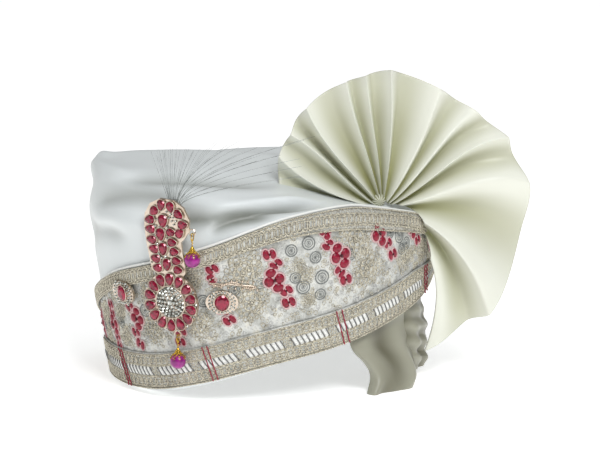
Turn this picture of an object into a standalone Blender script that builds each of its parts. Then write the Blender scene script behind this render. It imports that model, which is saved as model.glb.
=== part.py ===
"""A tied turban pagri: a wound satin crown with an embroidered band, a pleated fan, two short
cloth ends and a jewelled brooch with a plume. It lies on its rim. The wearer's front is -Y, the
wearer's left is +X, and the floor is z = 0."""

import math

import bmesh
import bpy
import numpy as np
from mathutils import Matrix, Vector

MM = 0.001

# Gaps and cloth
GAP = 0.35 * MM
BORDER_GAP = 0.5 * MM
CROWN_WALL = 8.0 * MM
BAND_THICKNESS = 2.2 * MM
BORDER_THICKNESS = 1.4 * MM
FAN_THICKNESS = 2.6 * MM

# Crown
HALF_WIDTH = 95.5 * MM
HALF_DEPTH = 116.5 * MM
CROWN_HEIGHT = 142.0 * MM
CROWN_LEAN = 7.0 * MM
LEFT_FALL = 12.0 * MM
FOLD_DEPTH = 5.0 * MM
FOLD_WIDTH = 7.0 * MM

# Band
SATIN_EDGE = 3.0 * MM
UPPER_BORDER_WIDTH = 10.0 * MM
LOWER_BORDER_WIDTH = 24.0 * MM
BUNDLE_ROOM = 6.0 * MM

# Fan
FAN_RADIUS = 92.0 * MM
FAN_FACING = 42.0
PLEAT_DEPTH = 5.0 * MM
KNOT_RADIUS = 5.5 * MM
KNOT_ANGLE = 88.0
KNOT_ALONG = 0.635
KNOT_DENT = 12.0 * MM
KNOT_DENT_REACH = 34.0 * MM

# Tails
TAIL_SWELL = 12.0 * MM

# Brooch
BROOCH_HEIGHT = 84.0 * MM
BROOCH_ACROSS = 6.0 * MM
BROOCH_UP = 68.0 * MM
BROOCH_LEAN = 4.5
PLATE_THICKNESS = 1.6 * MM
FLOWER_RADIUS = 19.4 * MM
PETAL_RING = 15.1 * MM
PETAL_COUNT = 14
PETAL_LENGTH = 7.4 * MM
PETAL_WIDTH = 5.2 * MM
DROP_LENGTH = 6.0 * MM
DROP_WIDTH = 4.6 * MM
DROP_POINT = 0.3
STONE_HEIGHT = 2.4 * MM
CRYSTAL_RADIUS = 10.8 * MM
CRYSTAL_HEIGHT = 2.6 * MM
SIDE_HALF_WIDTH = 10.5 * MM
SIDE_HALF_HEIGHT = 7.8 * MM
OVAL_LENGTH = 10.6 * MM
OVAL_WIDTH = 9.6 * MM

# Drops
BEAD_RADIUS = 5.0 * MM
CAP_RADIUS = 3.6 * MM
CAP_HEIGHT = 3.4 * MM
STEM_LENGTH = 3.2 * MM
LOOP_RADIUS = 2.6 * MM
EYE_RADIUS = 2.2 * MM
WIRE_RADIUS = 0.5 * MM

# Plume
PLUME_LENGTH = 92.0 * MM
PLUME_HEAD_WIDTH = 9.0 * MM
PLUME_HEAD_DEPTH = 1.8 * MM
PLUME_HEAD_HEIGHT = 7.0 * MM

TURN_COUNT = 60

# The angle between two faces from which an edge is drawn sharp, for each kind of piece
SHARP_FROM = {
    "cloth": 35.0,
    "tail": 50.0,
    "plate": 30.0,
    "turned": 40.0,
    "facets": 5.0,
    "strips": 60.0,
}

# The crown's outline from the rim to the middle of its top, as shares of its half width and height
PROFILE = (
    # along, reach, rise
    (0.00, 0.950, 0.000),
    (0.15, 1.000, 0.250),
    (0.30, 1.045, 0.500),
    (0.44, 1.085, 0.740),
    (0.53, 1.075, 0.880),
    (0.585, 1.030, 0.953),
    (0.65, 0.920, 0.985),
    (0.78, 0.600, 1.000),
    (0.90, 0.270, 0.998),
    (1.00, 0.000, 0.995),
)

# The rim and the band's top edge round the hat, as shares of the crown's height, and how far
# the band stands off the crown, as a share of the room for the gathered cloth under it
EDGES = (
    # angle, rim, band_top, stand
    (-180.0, 0.000, 0.100, 0.0),
    (-102.0, 0.000, 0.115, 0.0),
    (-75.0, 0.000, 0.240, 0.0),
    (-55.0, 0.000, 0.370, 0.0),
    (-34.0, 0.000, 0.490, 0.0),
    (-21.0, 0.002, 0.565, 0.0),
    (-5.0, 0.020, 0.625, 0.0),
    (15.0, 0.078, 0.705, 0.0),
    (27.0, 0.122, 0.765, 0.0),
    (37.0, 0.155, 0.812, 0.0),
    (49.0, 0.190, 0.842, 0.35),
    (64.0, 0.238, 0.836, 1.0),
    (78.0, 0.285, 0.795, 1.0),
    (96.0, 0.345, 0.745, 1.0),
    (110.0, 0.395, 0.680, 0.7),
    (120.0, 0.420, 0.625, 0.4),
    (138.0, 0.210, 0.500, 0.0),
    (158.0, 0.000, 0.300, 0.0),
    (180.0, 0.000, 0.100, 0.0),
)
BAND_START = -102.0
BAND_END = 120.0

# Soft folds in the crown: each runs from one place to another on the surface
CROWN_FOLDS = (
    # start_angle, start_along, end_angle, end_along, depth
    (-8.0, 0.50, 62.0, 0.70, 1.0),
    (-50.0, 0.52, 40.0, 0.80, 0.7),
    (-72.0, 0.36, 4.0, 0.52, 0.5),
    (-100.0, 0.30, -40.0, 0.66, 0.7),
    (-150.0, 0.22, -95.0, 0.62, 0.8),
    (170.0, 0.24, 118.0, 0.66, 0.9),
    (150.0, 0.20, 106.0, 0.58, 0.7),
)

# The fan's pleats by their angle round the knot, as shares of its radius and its pleats' depth.
# Its root leaves the knot where the fan hangs past the band's end.
FAN_RIDGES = (
    # angle, reach, height, root
    (167.0, 0.76, 0.6, 0.068),
    (153.0, 0.86, 1.0, 0.068),
    (139.0, 0.86, 1.0, 0.068),
    (126.0, 0.94, 1.1, 0.068),
    (115.0, 0.925, 0.9, 0.068),
    (106.0, 0.92, 1.0, 0.068),
    (97.0, 0.935, 1.0, 0.068),
    (87.0, 0.94, 0.9, 0.068),
    (76.0, 0.885, 0.9, 0.068),
    (64.0, 0.885, 1.1, 0.068),
    (50.0, 0.88, 0.9, 0.068),
    (36.0, 0.90, 0.9, 0.068),
    (24.0, 0.96, 1.1, 0.09),
    (6.0, 0.985, 0.9, 0.22),
    (-12.0, 1.00, 0.8, 0.350),
    (-30.0, 1.00, 0.9, 0.41),
    (-48.0, 1.015, 1.3, 0.55),
    (-62.0, 1.01, 0.8, 0.785),
    (-72.0, 1.02, 0.4, 0.93),
)

# The tails from their hidden tops down, with heights as shares of the crown's, and their
# distance off the hat and thickness as shares of the tail's swell
FRONT_TAIL = (
    # height, start_angle, end_angle, off, thickness
    (0.200, 68.0, 90.0, 0.42, 0.62),
    (0.130, 73.0, 91.0, 0.80, 0.82),
    (0.070, 74.0, 91.5, 1.20, 1.00),
    (0.025, 71.0, 90.5, 1.55, 1.10),
    (0.000, 70.0, 88.5, 1.75, 1.00),
)
REAR_TAIL = (
    # height, start_angle, end_angle, off, thickness
    (0.260, 94.5, 109.0, 0.42, 0.62),
    (0.190, 95.0, 109.5, 0.62, 0.80),
    (0.120, 95.0, 107.0, 0.66, 0.72),
    (0.070, 95.5, 108.0, 0.74, 0.80),
    (0.030, 96.0, 106.0, 0.70, 0.60),
)
FRONT_TAIL_ANGLES = (66.0, 90.0)
REAR_TAIL_ANGLES = (94.0, 108.0)
TAIL_TOP = 0.56

# The brooch's paisley stones, as shares of its height from the flower's centre
PAISLEY_STONES = (
    # across, up, size, turn
    (-0.045, 0.758, 1.00, -8.0),
    (0.036, 0.750, 1.00, 14.0),
    (-0.112, 0.706, 1.00, -48.0),
    (0.104, 0.700, 1.00, 58.0),
    (-0.152, 0.636, 1.00, -78.0),
    (0.138, 0.622, 1.00, 100.0),
    (-0.150, 0.562, 1.00, -92.0),
    (0.108, 0.555, 1.00, 132.0),
    (-0.142, 0.480, 1.00, -96.0),
    (-0.126, 0.408, 1.00, -98.0),
    (-0.114, 0.334, 1.00, -96.0),
    (-0.100, 0.262, 0.96, -92.0),
    (-0.036, 0.634, 1.20, 0.0),
    (-0.062, 0.528, 1.16, 8.0),
    (-0.046, 0.414, 1.16, 4.0),
    (-0.016, 0.294, 1.12, 0.0),
    (0.030, 0.552, 0.94, 90.0),
    (0.038, 0.474, 0.94, 92.0),
    (0.054, 0.402, 0.94, 92.0),
    (0.070, 0.332, 0.94, 90.0),
    (0.080, 0.262, 0.92, 88.0),
)
# The paisley's outline above the flower, from its left neck round to its right neck
PAISLEY_OUTLINE = (
    # across, up
    (-0.158, 0.240),
    (-0.176, 0.340),
    (-0.198, 0.460),
    (-0.208, 0.580),
    (-0.200, 0.680),
    (-0.150, 0.762),
    (-0.060, 0.808),
    (0.060, 0.804),
    (0.142, 0.752),
    (0.190, 0.660),
    (0.184, 0.570),
    (0.140, 0.508),
    (0.108, 0.478),
    (0.118, 0.400),
    (0.134, 0.300),
    (0.136, 0.236),
)
# The wire eyes stand on the brooch's edge: the upper one on a corner of the paisley's outline,
# the lower one on the flower's rim, each with the way that its edge faces
EYES = ("upper", "lower")
UPPER_EYE_CORNER = 10
UPPER_EYE_FACING = -14.0
LOWER_EYE_FACING = -81.0
FLOWER_NECK_START = 116.0
FLOWER_NECK_END = 62.0

# The plume's strips: where each tip lies off the head, as shares of the plume's length
PLUME_STRIPS = (
    # across, back, up
    (-0.16, 0.06, 0.36),
    (-0.02, 0.05, 0.42),
    (0.14, 0.07, 0.46),
    (0.32, 0.10, 0.48),
    (0.50, 0.16, 0.50),
    (0.68, 0.28, 0.56),
    (0.80, 0.42, 0.60),
)

MATERIALS = {
    # name: colour, roughness, metallic
    "satin": ((0.80, 0.84, 0.82), 0.38, 0.0),
    "ivory_satin": ((0.80, 0.80, 0.69), 0.40, 0.0),
    "brocade": ((0.55, 0.54, 0.50), 0.60, 0.0),
    "lace": ((0.52, 0.47, 0.36), 0.55, 0.2),
    "red_stone": ((0.30, 0.0, 0.04), 0.15, 0.0),
    "crystal": ((0.60, 0.62, 0.54), 0.12, 0.1),
    "rose_gold": ((0.75, 0.50, 0.34), 0.30, 0.9),
    "gold": ((0.70, 0.48, 0.08), 0.28, 1.0),
    "magenta_bead": ((0.30, 0.0, 0.24), 0.30, 0.0),
    "filament": ((0.80, 0.80, 0.76), 0.40, 0.0),
}


def clear_scene():
    for obj in list(bpy.data.objects):
        bpy.data.objects.remove(obj, do_unlink=True)


def material(name):
    found = bpy.data.materials.get(name)
    if found:
        return found
    colour, roughness, metallic = MATERIALS[name]
    made = bpy.data.materials.new(name)
    made.use_nodes = True
    shader = made.node_tree.nodes["Principled BSDF"]
    shader.inputs["Base Color"].default_value = (*colour, 1.0)
    shader.inputs["Roughness"].default_value = roughness
    shader.inputs["Metallic"].default_value = metallic
    return made


def column(table, index):
    return np.array([row[index] for row in table], float)


def smooth_read(keys, values, at):
    """Reads a smooth curve through the rows of a table."""
    slopes = np.gradient(values, keys)
    at = np.clip(at, keys[0], keys[-1])
    row = np.clip(np.searchsorted(keys, at) - 1, 0, len(keys) - 2)
    step = keys[row + 1] - keys[row]
    share = (at - keys[row]) / step
    square, cube = share**2, share**3
    return (
        (2 * cube - 3 * square + 1) * values[row]
        + (cube - 2 * square + share) * step * slopes[row]
        + (3 * square - 2 * cube) * values[row + 1]
        + (cube - square) * step * slopes[row + 1]
    )


def smooth_step(value):
    share = np.clip(value, 0.0, 1.0)
    return share * share * (3 - 2 * share)


def profile(along):
    keys = column(PROFILE, 0)
    return (
        smooth_read(keys, column(PROFILE, 1), along),
        smooth_read(keys, column(PROFILE, 2), along),
    )


def edge(index, angle):
    """One column of the edge table, read at an angle in degrees."""
    return np.interp(angle, column(EDGES, 0), column(EDGES, index))


def smooth_edge(index, angle):
    """An edge's value, averaged over a few degrees so that the edge bends softly."""
    spread = (-6.0, -3.0, 0.0, 3.0, 6.0)
    turned = [(np.asarray(angle) + s + 180.0) % 360.0 - 180.0 for s in spread]
    return sum(edge(index, t) for t in turned) / len(spread)


def rim_height(angle):
    return smooth_edge(1, angle) * CROWN_HEIGHT


def band_top(angle):
    return smooth_edge(2, angle) * CROWN_HEIGHT


def band_bottom(angle):
    return rim_height(angle) + SATIN_EDGE


def band_stand(angle):
    return smooth_edge(3, angle) * BUNDLE_ROOM


def knot_foot():
    """Where the knot stands on the crown, in plan."""
    reach = profile(KNOT_ALONG)[0]
    turn = math.radians(KNOT_ANGLE)
    return HALF_WIDTH * reach * math.sin(turn) - CROWN_LEAN, -HALF_DEPTH * reach * math.cos(turn)


def crown_height(x, y):
    """The crown's height over a place in plan: it falls to the left and dips under the knot."""
    fall = LEFT_FALL * smooth_step((x + 0.2 * HALF_WIDTH) / (1.2 * HALF_WIDTH))
    foot_x, foot_y = knot_foot()
    away = ((x - foot_x) ** 2 + (y - foot_y) ** 2) / KNOT_DENT_REACH**2
    return CROWN_HEIGHT - fall - KNOT_DENT * np.exp(-away / 2)


def skin(angle, along):
    """The crown's smooth outer surface, by angle in degrees and by share of its outline."""
    turn = np.radians(angle)
    reach, rise = profile(along)
    x = HALF_WIDTH * reach * np.sin(turn)
    y = -HALF_DEPTH * reach * np.cos(turn)
    z = rise * crown_height(x, y)
    return np.stack([x - CROWN_LEAN * rise, y, z], axis=-1)


def skin_normal(angle, along):
    low = np.clip(along - 0.004, 0.0, 0.99)
    high = np.clip(along + 0.004, 0.01, 1.0)
    round_it = skin(angle + 0.4, along) - skin(angle - 0.4, along)
    up_it = skin(angle, high) - skin(angle, low)
    normal = np.cross(round_it, up_it)
    length = np.linalg.norm(normal, axis=-1, keepdims=True)
    normal = normal / np.maximum(length, 1e-12)
    at_middle = np.asarray(length < 1e-12)
    return np.where(at_middle, np.array([0.0, 0.0, 1.0]), normal)


def off_skin(angle, along, off):
    angle, along, off = np.broadcast_arrays(
        np.asarray(angle, float), np.asarray(along, float), np.asarray(off, float)
    )
    return skin(angle, along) + skin_normal(angle, along) * off[..., None]


def along_at(angle, height):
    """The share of the outline at which the crown's side reaches a height."""
    angle, height = np.broadcast_arrays(np.asarray(angle, float), np.asarray(height, float))
    low = np.zeros(angle.shape)
    high = np.full(angle.shape, 0.66)
    for _ in range(30):
        middle = (low + high) / 2
        under = skin(angle, middle)[..., 2] < height
        low = np.where(under, middle, low)
        high = np.where(under, high, middle)
    return (low + high) / 2


def crown_fold(angle, along):
    """How deep the crown's folds are at a place. They fade out above the band."""
    depth = np.zeros(np.broadcast(angle, along).shape)
    across_scale = math.radians(1.0) * (HALF_WIDTH + HALF_DEPTH) / 2
    along_scale = CROWN_HEIGHT + HALF_WIDTH
    for start_angle, start_along, end_angle, end_along, share in CROWN_FOLDS:
        run = np.array(
            [(end_angle - start_angle) * across_scale, (end_along - start_along) * along_scale]
        )
        length = np.linalg.norm(run)
        gone_x = (angle - start_angle) * across_scale
        gone_y = (along - start_along) * along_scale
        forth = (gone_x * run[0] + gone_y * run[1]) / length**2
        side = (gone_x * run[1] - gone_y * run[0]) / length
        fade = smooth_step(forth / 0.25) * smooth_step((1 - forth) / 0.25)
        depth += share * FOLD_DEPTH * np.exp(-((side / FOLD_WIDTH) ** 2)) * fade
    height = skin(angle, along)[..., 2]
    over = 360.0 / TURN_COUNT
    banded = (angle > BAND_START - over) & (angle < BAND_END + over)
    free = np.where(banded, smooth_step((height - band_top(angle)) / (2 * SATIN_EDGE)), 1.0)
    return depth * free


def add_mesh(name, points, faces, look, edge_kind="cloth"):
    mesh = bpy.data.meshes.new(name)
    mesh.from_pydata([tuple(p) for p in points], [], faces)
    shape = bmesh.new()
    shape.from_mesh(mesh)
    bmesh.ops.recalc_face_normals(shape, faces=shape.faces)
    if shape.calc_volume(signed=True) < 0:
        bmesh.ops.reverse_faces(shape, faces=shape.faces)
    shape.to_mesh(mesh)
    shape.free()
    mesh.shade_smooth()
    mesh.set_sharp_from_angle(angle=math.radians(SHARP_FROM[edge_kind]))
    mesh.materials.append(material(look))
    made = bpy.data.objects.new(name, mesh)
    bpy.context.scene.collection.objects.link(made)
    return made


def grid_faces(rows, columns, first, wrap):
    span = columns if wrap else columns - 1
    faces = []
    for r in range(rows - 1):
        for c in range(span):
            d = (c + 1) % columns
            a = first + r * columns
            b = a + columns
            faces.append((a + c, a + d, b + d, b + c))
    return faces


def sheet_shell(name, outer, inner, look):
    """A sheet of cloth from its two faces, which are grids of the same size."""
    rows, columns = outer.shape[:2]
    count = rows * columns
    points = np.concatenate([outer.reshape(-1, 3), inner.reshape(-1, 3)])
    faces = grid_faces(rows, columns, 0, False)
    faces += [tuple(reversed(f)) for f in grid_faces(rows, columns, count, False)]
    border = [(0, c) for c in range(columns)]
    border += [(r, columns - 1) for r in range(1, rows)]
    border += [(rows - 1, c) for c in range(columns - 2, -1, -1)]
    border += [(r, 0) for r in range(rows - 2, 0, -1)]
    at = [r * columns + c for r, c in border]
    for a, b in zip(at, at[1:] + at[:1], strict=True):
        faces.append((a, b, b + count, a + count))
    return add_mesh(name, points, faces, look)


def crown_cloth():
    angles = np.linspace(-180.0, 180.0, TURN_COUNT + 1)[:-1]
    low = along_at(angles, rim_height(angles))
    outer_shares = np.linspace(0.0, 1.0, 15)[:-1]
    inner_shares = np.linspace(0.0, 1.0, 9)[:-1]
    along_out = low + (0.97 - low) * outer_shares[:, None]
    along_in = low + (0.96 - low) * inner_shares[:, None]
    turns = np.broadcast_to(angles, along_out.shape)
    outer = off_skin(turns, along_out, -crown_fold(turns, along_out))
    inner = off_skin(np.broadcast_to(angles, along_in.shape), along_in, -CROWN_WALL)
    inner[0, :, 2] = outer[0, :, 2]
    columns = len(angles)
    outer_top = outer[-1].mean(axis=0)
    inner_top = inner[-1].mean(axis=0)
    points = np.concatenate([outer.reshape(-1, 3), inner.reshape(-1, 3), [outer_top, inner_top]])
    first_in = outer.shape[0] * columns
    faces = grid_faces(outer.shape[0], columns, 0, True)
    faces += [tuple(reversed(f)) for f in grid_faces(inner.shape[0], columns, first_in, True)]
    last_out = first_in - columns
    last_in = first_in + (inner.shape[0] - 1) * columns
    middle = len(points) - 2
    for c in range(columns):
        d = (c + 1) % columns
        faces.append((c, first_in + c, first_in + d, d))
        faces.append((last_out + c, last_out + d, middle))
        faces.append((last_in + d, last_in + c, middle + 1))
    add_mesh("crown_cloth", points, faces, "satin")


def strip(name, angles, low, high, rows, off, thickness, look):
    """A strip of cloth round the crown between two heights, at a distance off the surface."""
    shares = np.linspace(0.0, 1.0, rows)[:, None]
    heights = low + (high - low) * shares
    turns = np.broadcast_to(angles, heights.shape)
    along = along_at(turns, heights)
    sheet_shell(
        name,
        off_skin(turns, along, off + thickness),
        off_skin(turns, along, np.broadcast_to(off, heights.shape)),
        look,
    )


def border_widths(angle):
    """The upper and the lower border's width, which narrow with the band."""
    height = band_top(angle) - band_bottom(angle)
    return np.minimum(UPPER_BORDER_WIDTH, 0.30 * height), np.minimum(LOWER_BORDER_WIDTH, 0.42 * height)


def band():
    count = round((BAND_END - BAND_START) / 360.0 * TURN_COUNT) + 1
    angles = np.linspace(BAND_START, BAND_END, count)
    low, high = band_bottom(angles), band_top(angles)
    upper_width, lower_width = border_widths(angles)
    stand = band_stand(angles) + GAP
    strip("brocade_band", angles, low, high, 9, stand, BAND_THICKNESS, "brocade")
    over = stand + BAND_THICKNESS + BORDER_GAP
    strip("upper_border", angles, high - upper_width, high, 3, over, BORDER_THICKNESS, "lace")
    strip("lower_border", angles, low, low + lower_width, 4, over, BORDER_THICKNESS, "lace")


def fan_axes():
    """The fan's own directions: across, up, and out of its face."""
    turn = math.radians(FAN_FACING)
    across = np.array([math.cos(turn), math.sin(turn), 0.0])
    out = np.array([math.sin(turn), -math.cos(turn), 0.0])
    return across, np.array([0.0, 0.0, 1.0]), out


def knot_centre():
    return off_skin(KNOT_ANGLE, KNOT_ALONG, KNOT_RADIUS + GAP)


def fan_reach(angle):
    keys = column(FAN_RIDGES, 0)[::-1]
    return np.interp(angle, keys, column(FAN_RIDGES, 1)[::-1]) * FAN_RADIUS


def fan_root(angle):
    """Where the fan's cloth starts: at the knot, and beside the band where it hangs past it."""
    keys = column(FAN_RIDGES, 0)[::-1]
    share = np.interp(angle, keys, column(FAN_RIDGES, 3)[::-1])
    return np.maximum(share * FAN_RADIUS, KNOT_RADIUS + GAP)


def pleat_lift(angle):
    """The height of the pleats: one on each ridge, minus one midway between two."""
    ridges = column(FAN_RIDGES, 0)[::-1]
    heights = column(FAN_RIDGES, 2)[::-1]
    row = np.clip(np.searchsorted(ridges, angle) - 1, 0, len(ridges) - 2)
    share = (angle - ridges[row]) / (ridges[row + 1] - ridges[row])
    height = heights[row] + (heights[row + 1] - heights[row]) * share
    return height * np.cos(2 * math.pi * share)


def fan_angles():
    angles = []
    for (start, *_), (end, *_) in zip(FAN_RIDGES, FAN_RIDGES[1:], strict=False):
        angles += list(np.linspace(start, end, 5)[:-1])
    return np.array(angles + [FAN_RIDGES[-1][0]])


def pleated_fan():
    across, up, out = fan_axes()
    angles = fan_angles()
    shares = np.linspace(0.0, 1.0, 7)[:, None]
    root, reach = fan_root(angles), fan_reach(angles)
    radius = root + (reach - root) * shares
    turn = np.radians(angles)
    lift = pleat_lift(angles) * PLEAT_DEPTH * (radius / FAN_RADIUS) ** 0.8
    flat = (
        knot_centre()
        + (radius * np.cos(turn))[..., None] * across
        + (radius * np.sin(turn))[..., None] * up
    )
    face = flat + (lift + FAN_THICKNESS / 2)[..., None] * out
    back = flat + (lift - FAN_THICKNESS / 2)[..., None] * out
    sheet_shell("pleated_fan", face, back, "ivory_satin")


def fan_knot():
    shape = bmesh.new()
    bmesh.ops.create_uvsphere(shape, u_segments=16, v_segments=10, radius=KNOT_RADIUS)
    mesh = bpy.data.meshes.new("fan_knot")
    shape.to_mesh(mesh)
    shape.free()
    mesh.shade_smooth()
    mesh.materials.append(material("ivory_satin"))
    made = bpy.data.objects.new("fan_knot", mesh)
    made.location = Vector(knot_centre())
    bpy.context.scene.collection.objects.link(made)


def loft(name, sections, look, edge_kind="tail"):
    """A closed solid through rings of points, with a middle point in each end."""
    count = len(sections[0])
    points = [p for ring in sections for p in ring]
    faces = grid_faces(len(sections), count, 0, True)
    for first, ring in ((0, sections[0]), ((len(sections) - 1) * count, sections[-1])):
        middle = len(points)
        points.append(np.mean(ring, axis=0))
        for c in range(count):
            faces.append((first + c, first + (c + 1) % count, middle))
    return add_mesh(name, points, faces, look, edge_kind)


def tail_section(height, start, end, off, thickness, ripple):
    """One flat ring across a tail: its outer face, then its inner face back."""
    shares = np.linspace(0.0, 1.0, 9)
    angles = start + (end - start) * shares
    along = along_at(angles, height)
    swell = np.sqrt(np.maximum(1 - (2 * shares - 1) ** 2, 0.10))
    half = thickness / 2 * swell
    wave = ripple * np.cos(3 * math.pi * shares) * thickness / 2
    outer = off_skin(angles, along, off + half + wave)
    inner = off_skin(angles, along, off - half + wave)
    outer[:, 2] = height
    inner[:, 2] = height
    return list(outer) + list(inner[::-1])


def tail(name, table, hidden_angles, look):
    sections = []
    top = TAIL_TOP * CROWN_HEIGHT
    first_free = table[0][0] * CROWN_HEIGHT
    hidden_low = first_free + 2 * SATIN_EDGE
    for height in np.linspace(top, hidden_low, 5):
        angles = np.linspace(*hidden_angles, 3)
        room = float(np.min(band_stand(angles)))
        start, end = hidden_angles
        sections.append(tail_section(height, start, end, GAP + (room - GAP) / 2, room - GAP, 0.0))
    heights = column(table, 0)
    for height in np.linspace(heights[0], heights[-1], 9):
        read = [np.interp(height, heights[::-1], column(table, i)[::-1]) for i in range(1, 5)]
        start, end, off, thickness = read
        sections.append(
            tail_section(
                height * CROWN_HEIGHT, start, end, off * TAIL_SWELL, thickness * TAIL_SWELL, 0.22
            )
        )
    loft(name, sections, look)


def brooch_axes():
    """The brooch's own directions: across, up its face, and out of it."""
    lean = math.radians(BROOCH_LEAN)
    across = np.array([1.0, 0.0, 0.0])
    up = np.array([0.0, -math.sin(lean), math.cos(lean)])
    return across, up, np.cross(across, up)


def seat(centre, across, up, out, half_width, low, high):
    """How far out a flat back must stand to clear the band, its borders and the crown."""
    angles = np.arange(-40.0, 41.0, 2.0)[None, :]
    heights = np.linspace(0.05, 0.86, 40)[:, None] * CROWN_HEIGHT
    along = along_at(angles, heights)
    banded = heights <= band_top(angles)
    upper_width, lower_width = border_widths(angles)
    bordered = heights >= band_top(angles) - upper_width
    bordered |= heights <= band_bottom(angles) + lower_width
    layers = GAP + BAND_THICKNESS + np.where(bordered, BORDER_GAP + BORDER_THICKNESS, 0.0)
    points = off_skin(angles, along, np.where(banded, layers + band_stand(angles), 0.0))
    gone = points.reshape(-1, 3) - centre
    near = (np.abs(gone @ across) <= half_width) & (gone @ up >= low) & (gone @ up <= high)
    return float((gone @ out)[near].max()) + GAP


def brooch_centre():
    """The middle of the flower, on the back of the brooch."""
    across, up, out = brooch_axes()
    start = np.array([BROOCH_ACROSS, -HALF_DEPTH, BROOCH_UP])
    high = PAISLEY_OUTLINE[6][1] * BROOCH_HEIGHT
    return start + out * seat(start, across, up, out, FLOWER_RADIUS, -FLOWER_RADIUS, high)


def on_brooch(across_by, up_by, out_by):
    across, up, out = brooch_axes()
    return brooch_centre() + across * across_by + up * up_by + out * out_by


def prism(name, outline, across, up, out, base, thickness, look):
    """A flat plate from an outline given as across and up from its base point."""
    points = []
    for depth in (0.0, thickness):
        points += [base + across * a + up * b + out * depth for a, b in outline]
    count = len(outline)
    faces = [tuple(range(count)), tuple(range(2 * count - 1, count - 1, -1))]
    faces += grid_faces(2, count, 0, True)
    return add_mesh(name, points, faces, look, "plate")


def ring_solid(radius, wire, matrix, sides=12, wire_sides=5):
    """A ring of round wire, as a bmesh in the ring's own plane, moved by a matrix."""
    shape = bmesh.new()
    rings = []
    for i in range(sides):
        turn = 2 * math.pi * i / sides
        ring = []
        for k in range(wire_sides):
            roll = 2 * math.pi * k / wire_sides
            far = radius + wire * math.cos(roll)
            place = Vector((far * math.cos(turn), far * math.sin(turn), wire * math.sin(roll)))
            ring.append(shape.verts.new(matrix @ place))
        rings.append(ring)
    for i in range(sides):
        for k in range(wire_sides):
            a, b = rings[i], rings[(i + 1) % sides]
            n = (k + 1) % wire_sides
            shape.faces.new((a[k], b[k], b[n], a[n]))
    bmesh.ops.recalc_face_normals(shape, faces=shape.faces)
    mesh = bpy.data.meshes.new("ring")
    shape.to_mesh(mesh)
    shape.free()
    helper = bpy.data.objects.new("ring_helper", mesh)
    helper.hide_render = True
    helper.display_type = "WIRE"
    bpy.context.scene.collection.objects.link(helper)
    return helper


def join_solid(target, helper):
    joined = target.modifiers.new("join", "BOOLEAN")
    joined.operation = "UNION"
    joined.solver = "EXACT"
    joined.object = helper


def frame_matrix(across, up, out, place):
    return Matrix.Translation(Vector(place)) @ Matrix([across, up, out]).transposed().to_4x4()


def eye_centre(name):
    """A wire eye stands on the brooch's edge, in the plane of its plate, sunk by half its wire."""
    facing = math.radians(UPPER_EYE_FACING if name == "upper" else LOWER_EYE_FACING)
    if name == "upper":
        across_by, up_by = PAISLEY_OUTLINE[UPPER_EYE_CORNER]
        foot = np.array([across_by, up_by]) * BROOCH_HEIGHT
    else:
        foot = np.array([math.cos(facing), math.sin(facing)]) * FLOWER_RADIUS
    away = EYE_RADIUS - WIRE_RADIUS / 2
    foot = foot + np.array([math.cos(facing), math.sin(facing)]) * away
    return on_brooch(foot[0], foot[1], PLATE_THICKNESS / 2)


def brooch_setting():
    turn_from, turn_to = FLOWER_NECK_START, FLOWER_NECK_END + 360.0
    outline = []
    for turn in np.radians(np.linspace(turn_from, turn_to, 30)):
        outline.append((FLOWER_RADIUS * math.cos(turn), FLOWER_RADIUS * math.sin(turn)))
    paisley = [(a * BROOCH_HEIGHT, b * BROOCH_HEIGHT) for a, b in PAISLEY_OUTLINE]
    outline += list(reversed(paisley))
    across, up, out = brooch_axes()
    plate = prism(
        "brooch_setting", outline, across, up, out, brooch_centre(), PLATE_THICKNESS, "rose_gold"
    )
    for name in EYES:
        matrix = frame_matrix(across, up, out, eye_centre(name))
        join_solid(plate, ring_solid(EYE_RADIUS, WIRE_RADIUS, matrix))


def cut_stone(name, length, width, base, axes, turn, pointed, look):
    """A stone with a flat table, eight crown facets and eight lower ones, tip at its turn."""
    across, up, out = axes
    rad = math.radians(turn)
    tip = across * math.sin(rad) - up * math.cos(rad)
    side = np.cross(out, tip)
    rings = ((0.82, 0.0), (1.0, 0.45), (0.58, 1.0))
    points = []
    for share, height in rings:
        for k in range(8):
            angle = 2 * math.pi * k / 8
            forth = math.cos(angle) * length / 2
            wide = math.sin(angle) * width / 2 * (1 - pointed * math.cos(angle))
            points.append(
                base + tip * forth * share + side * wide * share + out * height * STONE_HEIGHT
            )
    faces = [tuple(range(7, -1, -1)), tuple(range(16, 24))]
    faces += grid_faces(3, 8, 0, True)
    return add_mesh(name, points, faces, look, "facets")


def flower_stones():
    axes = brooch_axes()
    front = PLATE_THICKNESS + GAP
    for i in range(PETAL_COUNT):
        turn = 360.0 * i / PETAL_COUNT
        rad = math.radians(turn)
        base = on_brooch(PETAL_RING * math.sin(rad), PETAL_RING * math.cos(rad), front)
        cut_stone(
            f"petal_stone_{i + 1:02d}",
            PETAL_LENGTH,
            PETAL_WIDTH,
            base,
            axes,
            -turn,
            DROP_POINT,
            "red_stone",
        )


def paisley_stones():
    axes = brooch_axes()
    front = PLATE_THICKNESS + GAP
    for i, (across_by, up_by, size, turn) in enumerate(PAISLEY_STONES):
        base = on_brooch(across_by * BROOCH_HEIGHT, up_by * BROOCH_HEIGHT, front)
        cut_stone(
            f"paisley_stone_{i + 1:02d}",
            DROP_LENGTH * size,
            DROP_WIDTH * size,
            base,
            axes,
            turn,
            DROP_POINT,
            "red_stone",
        )


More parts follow.
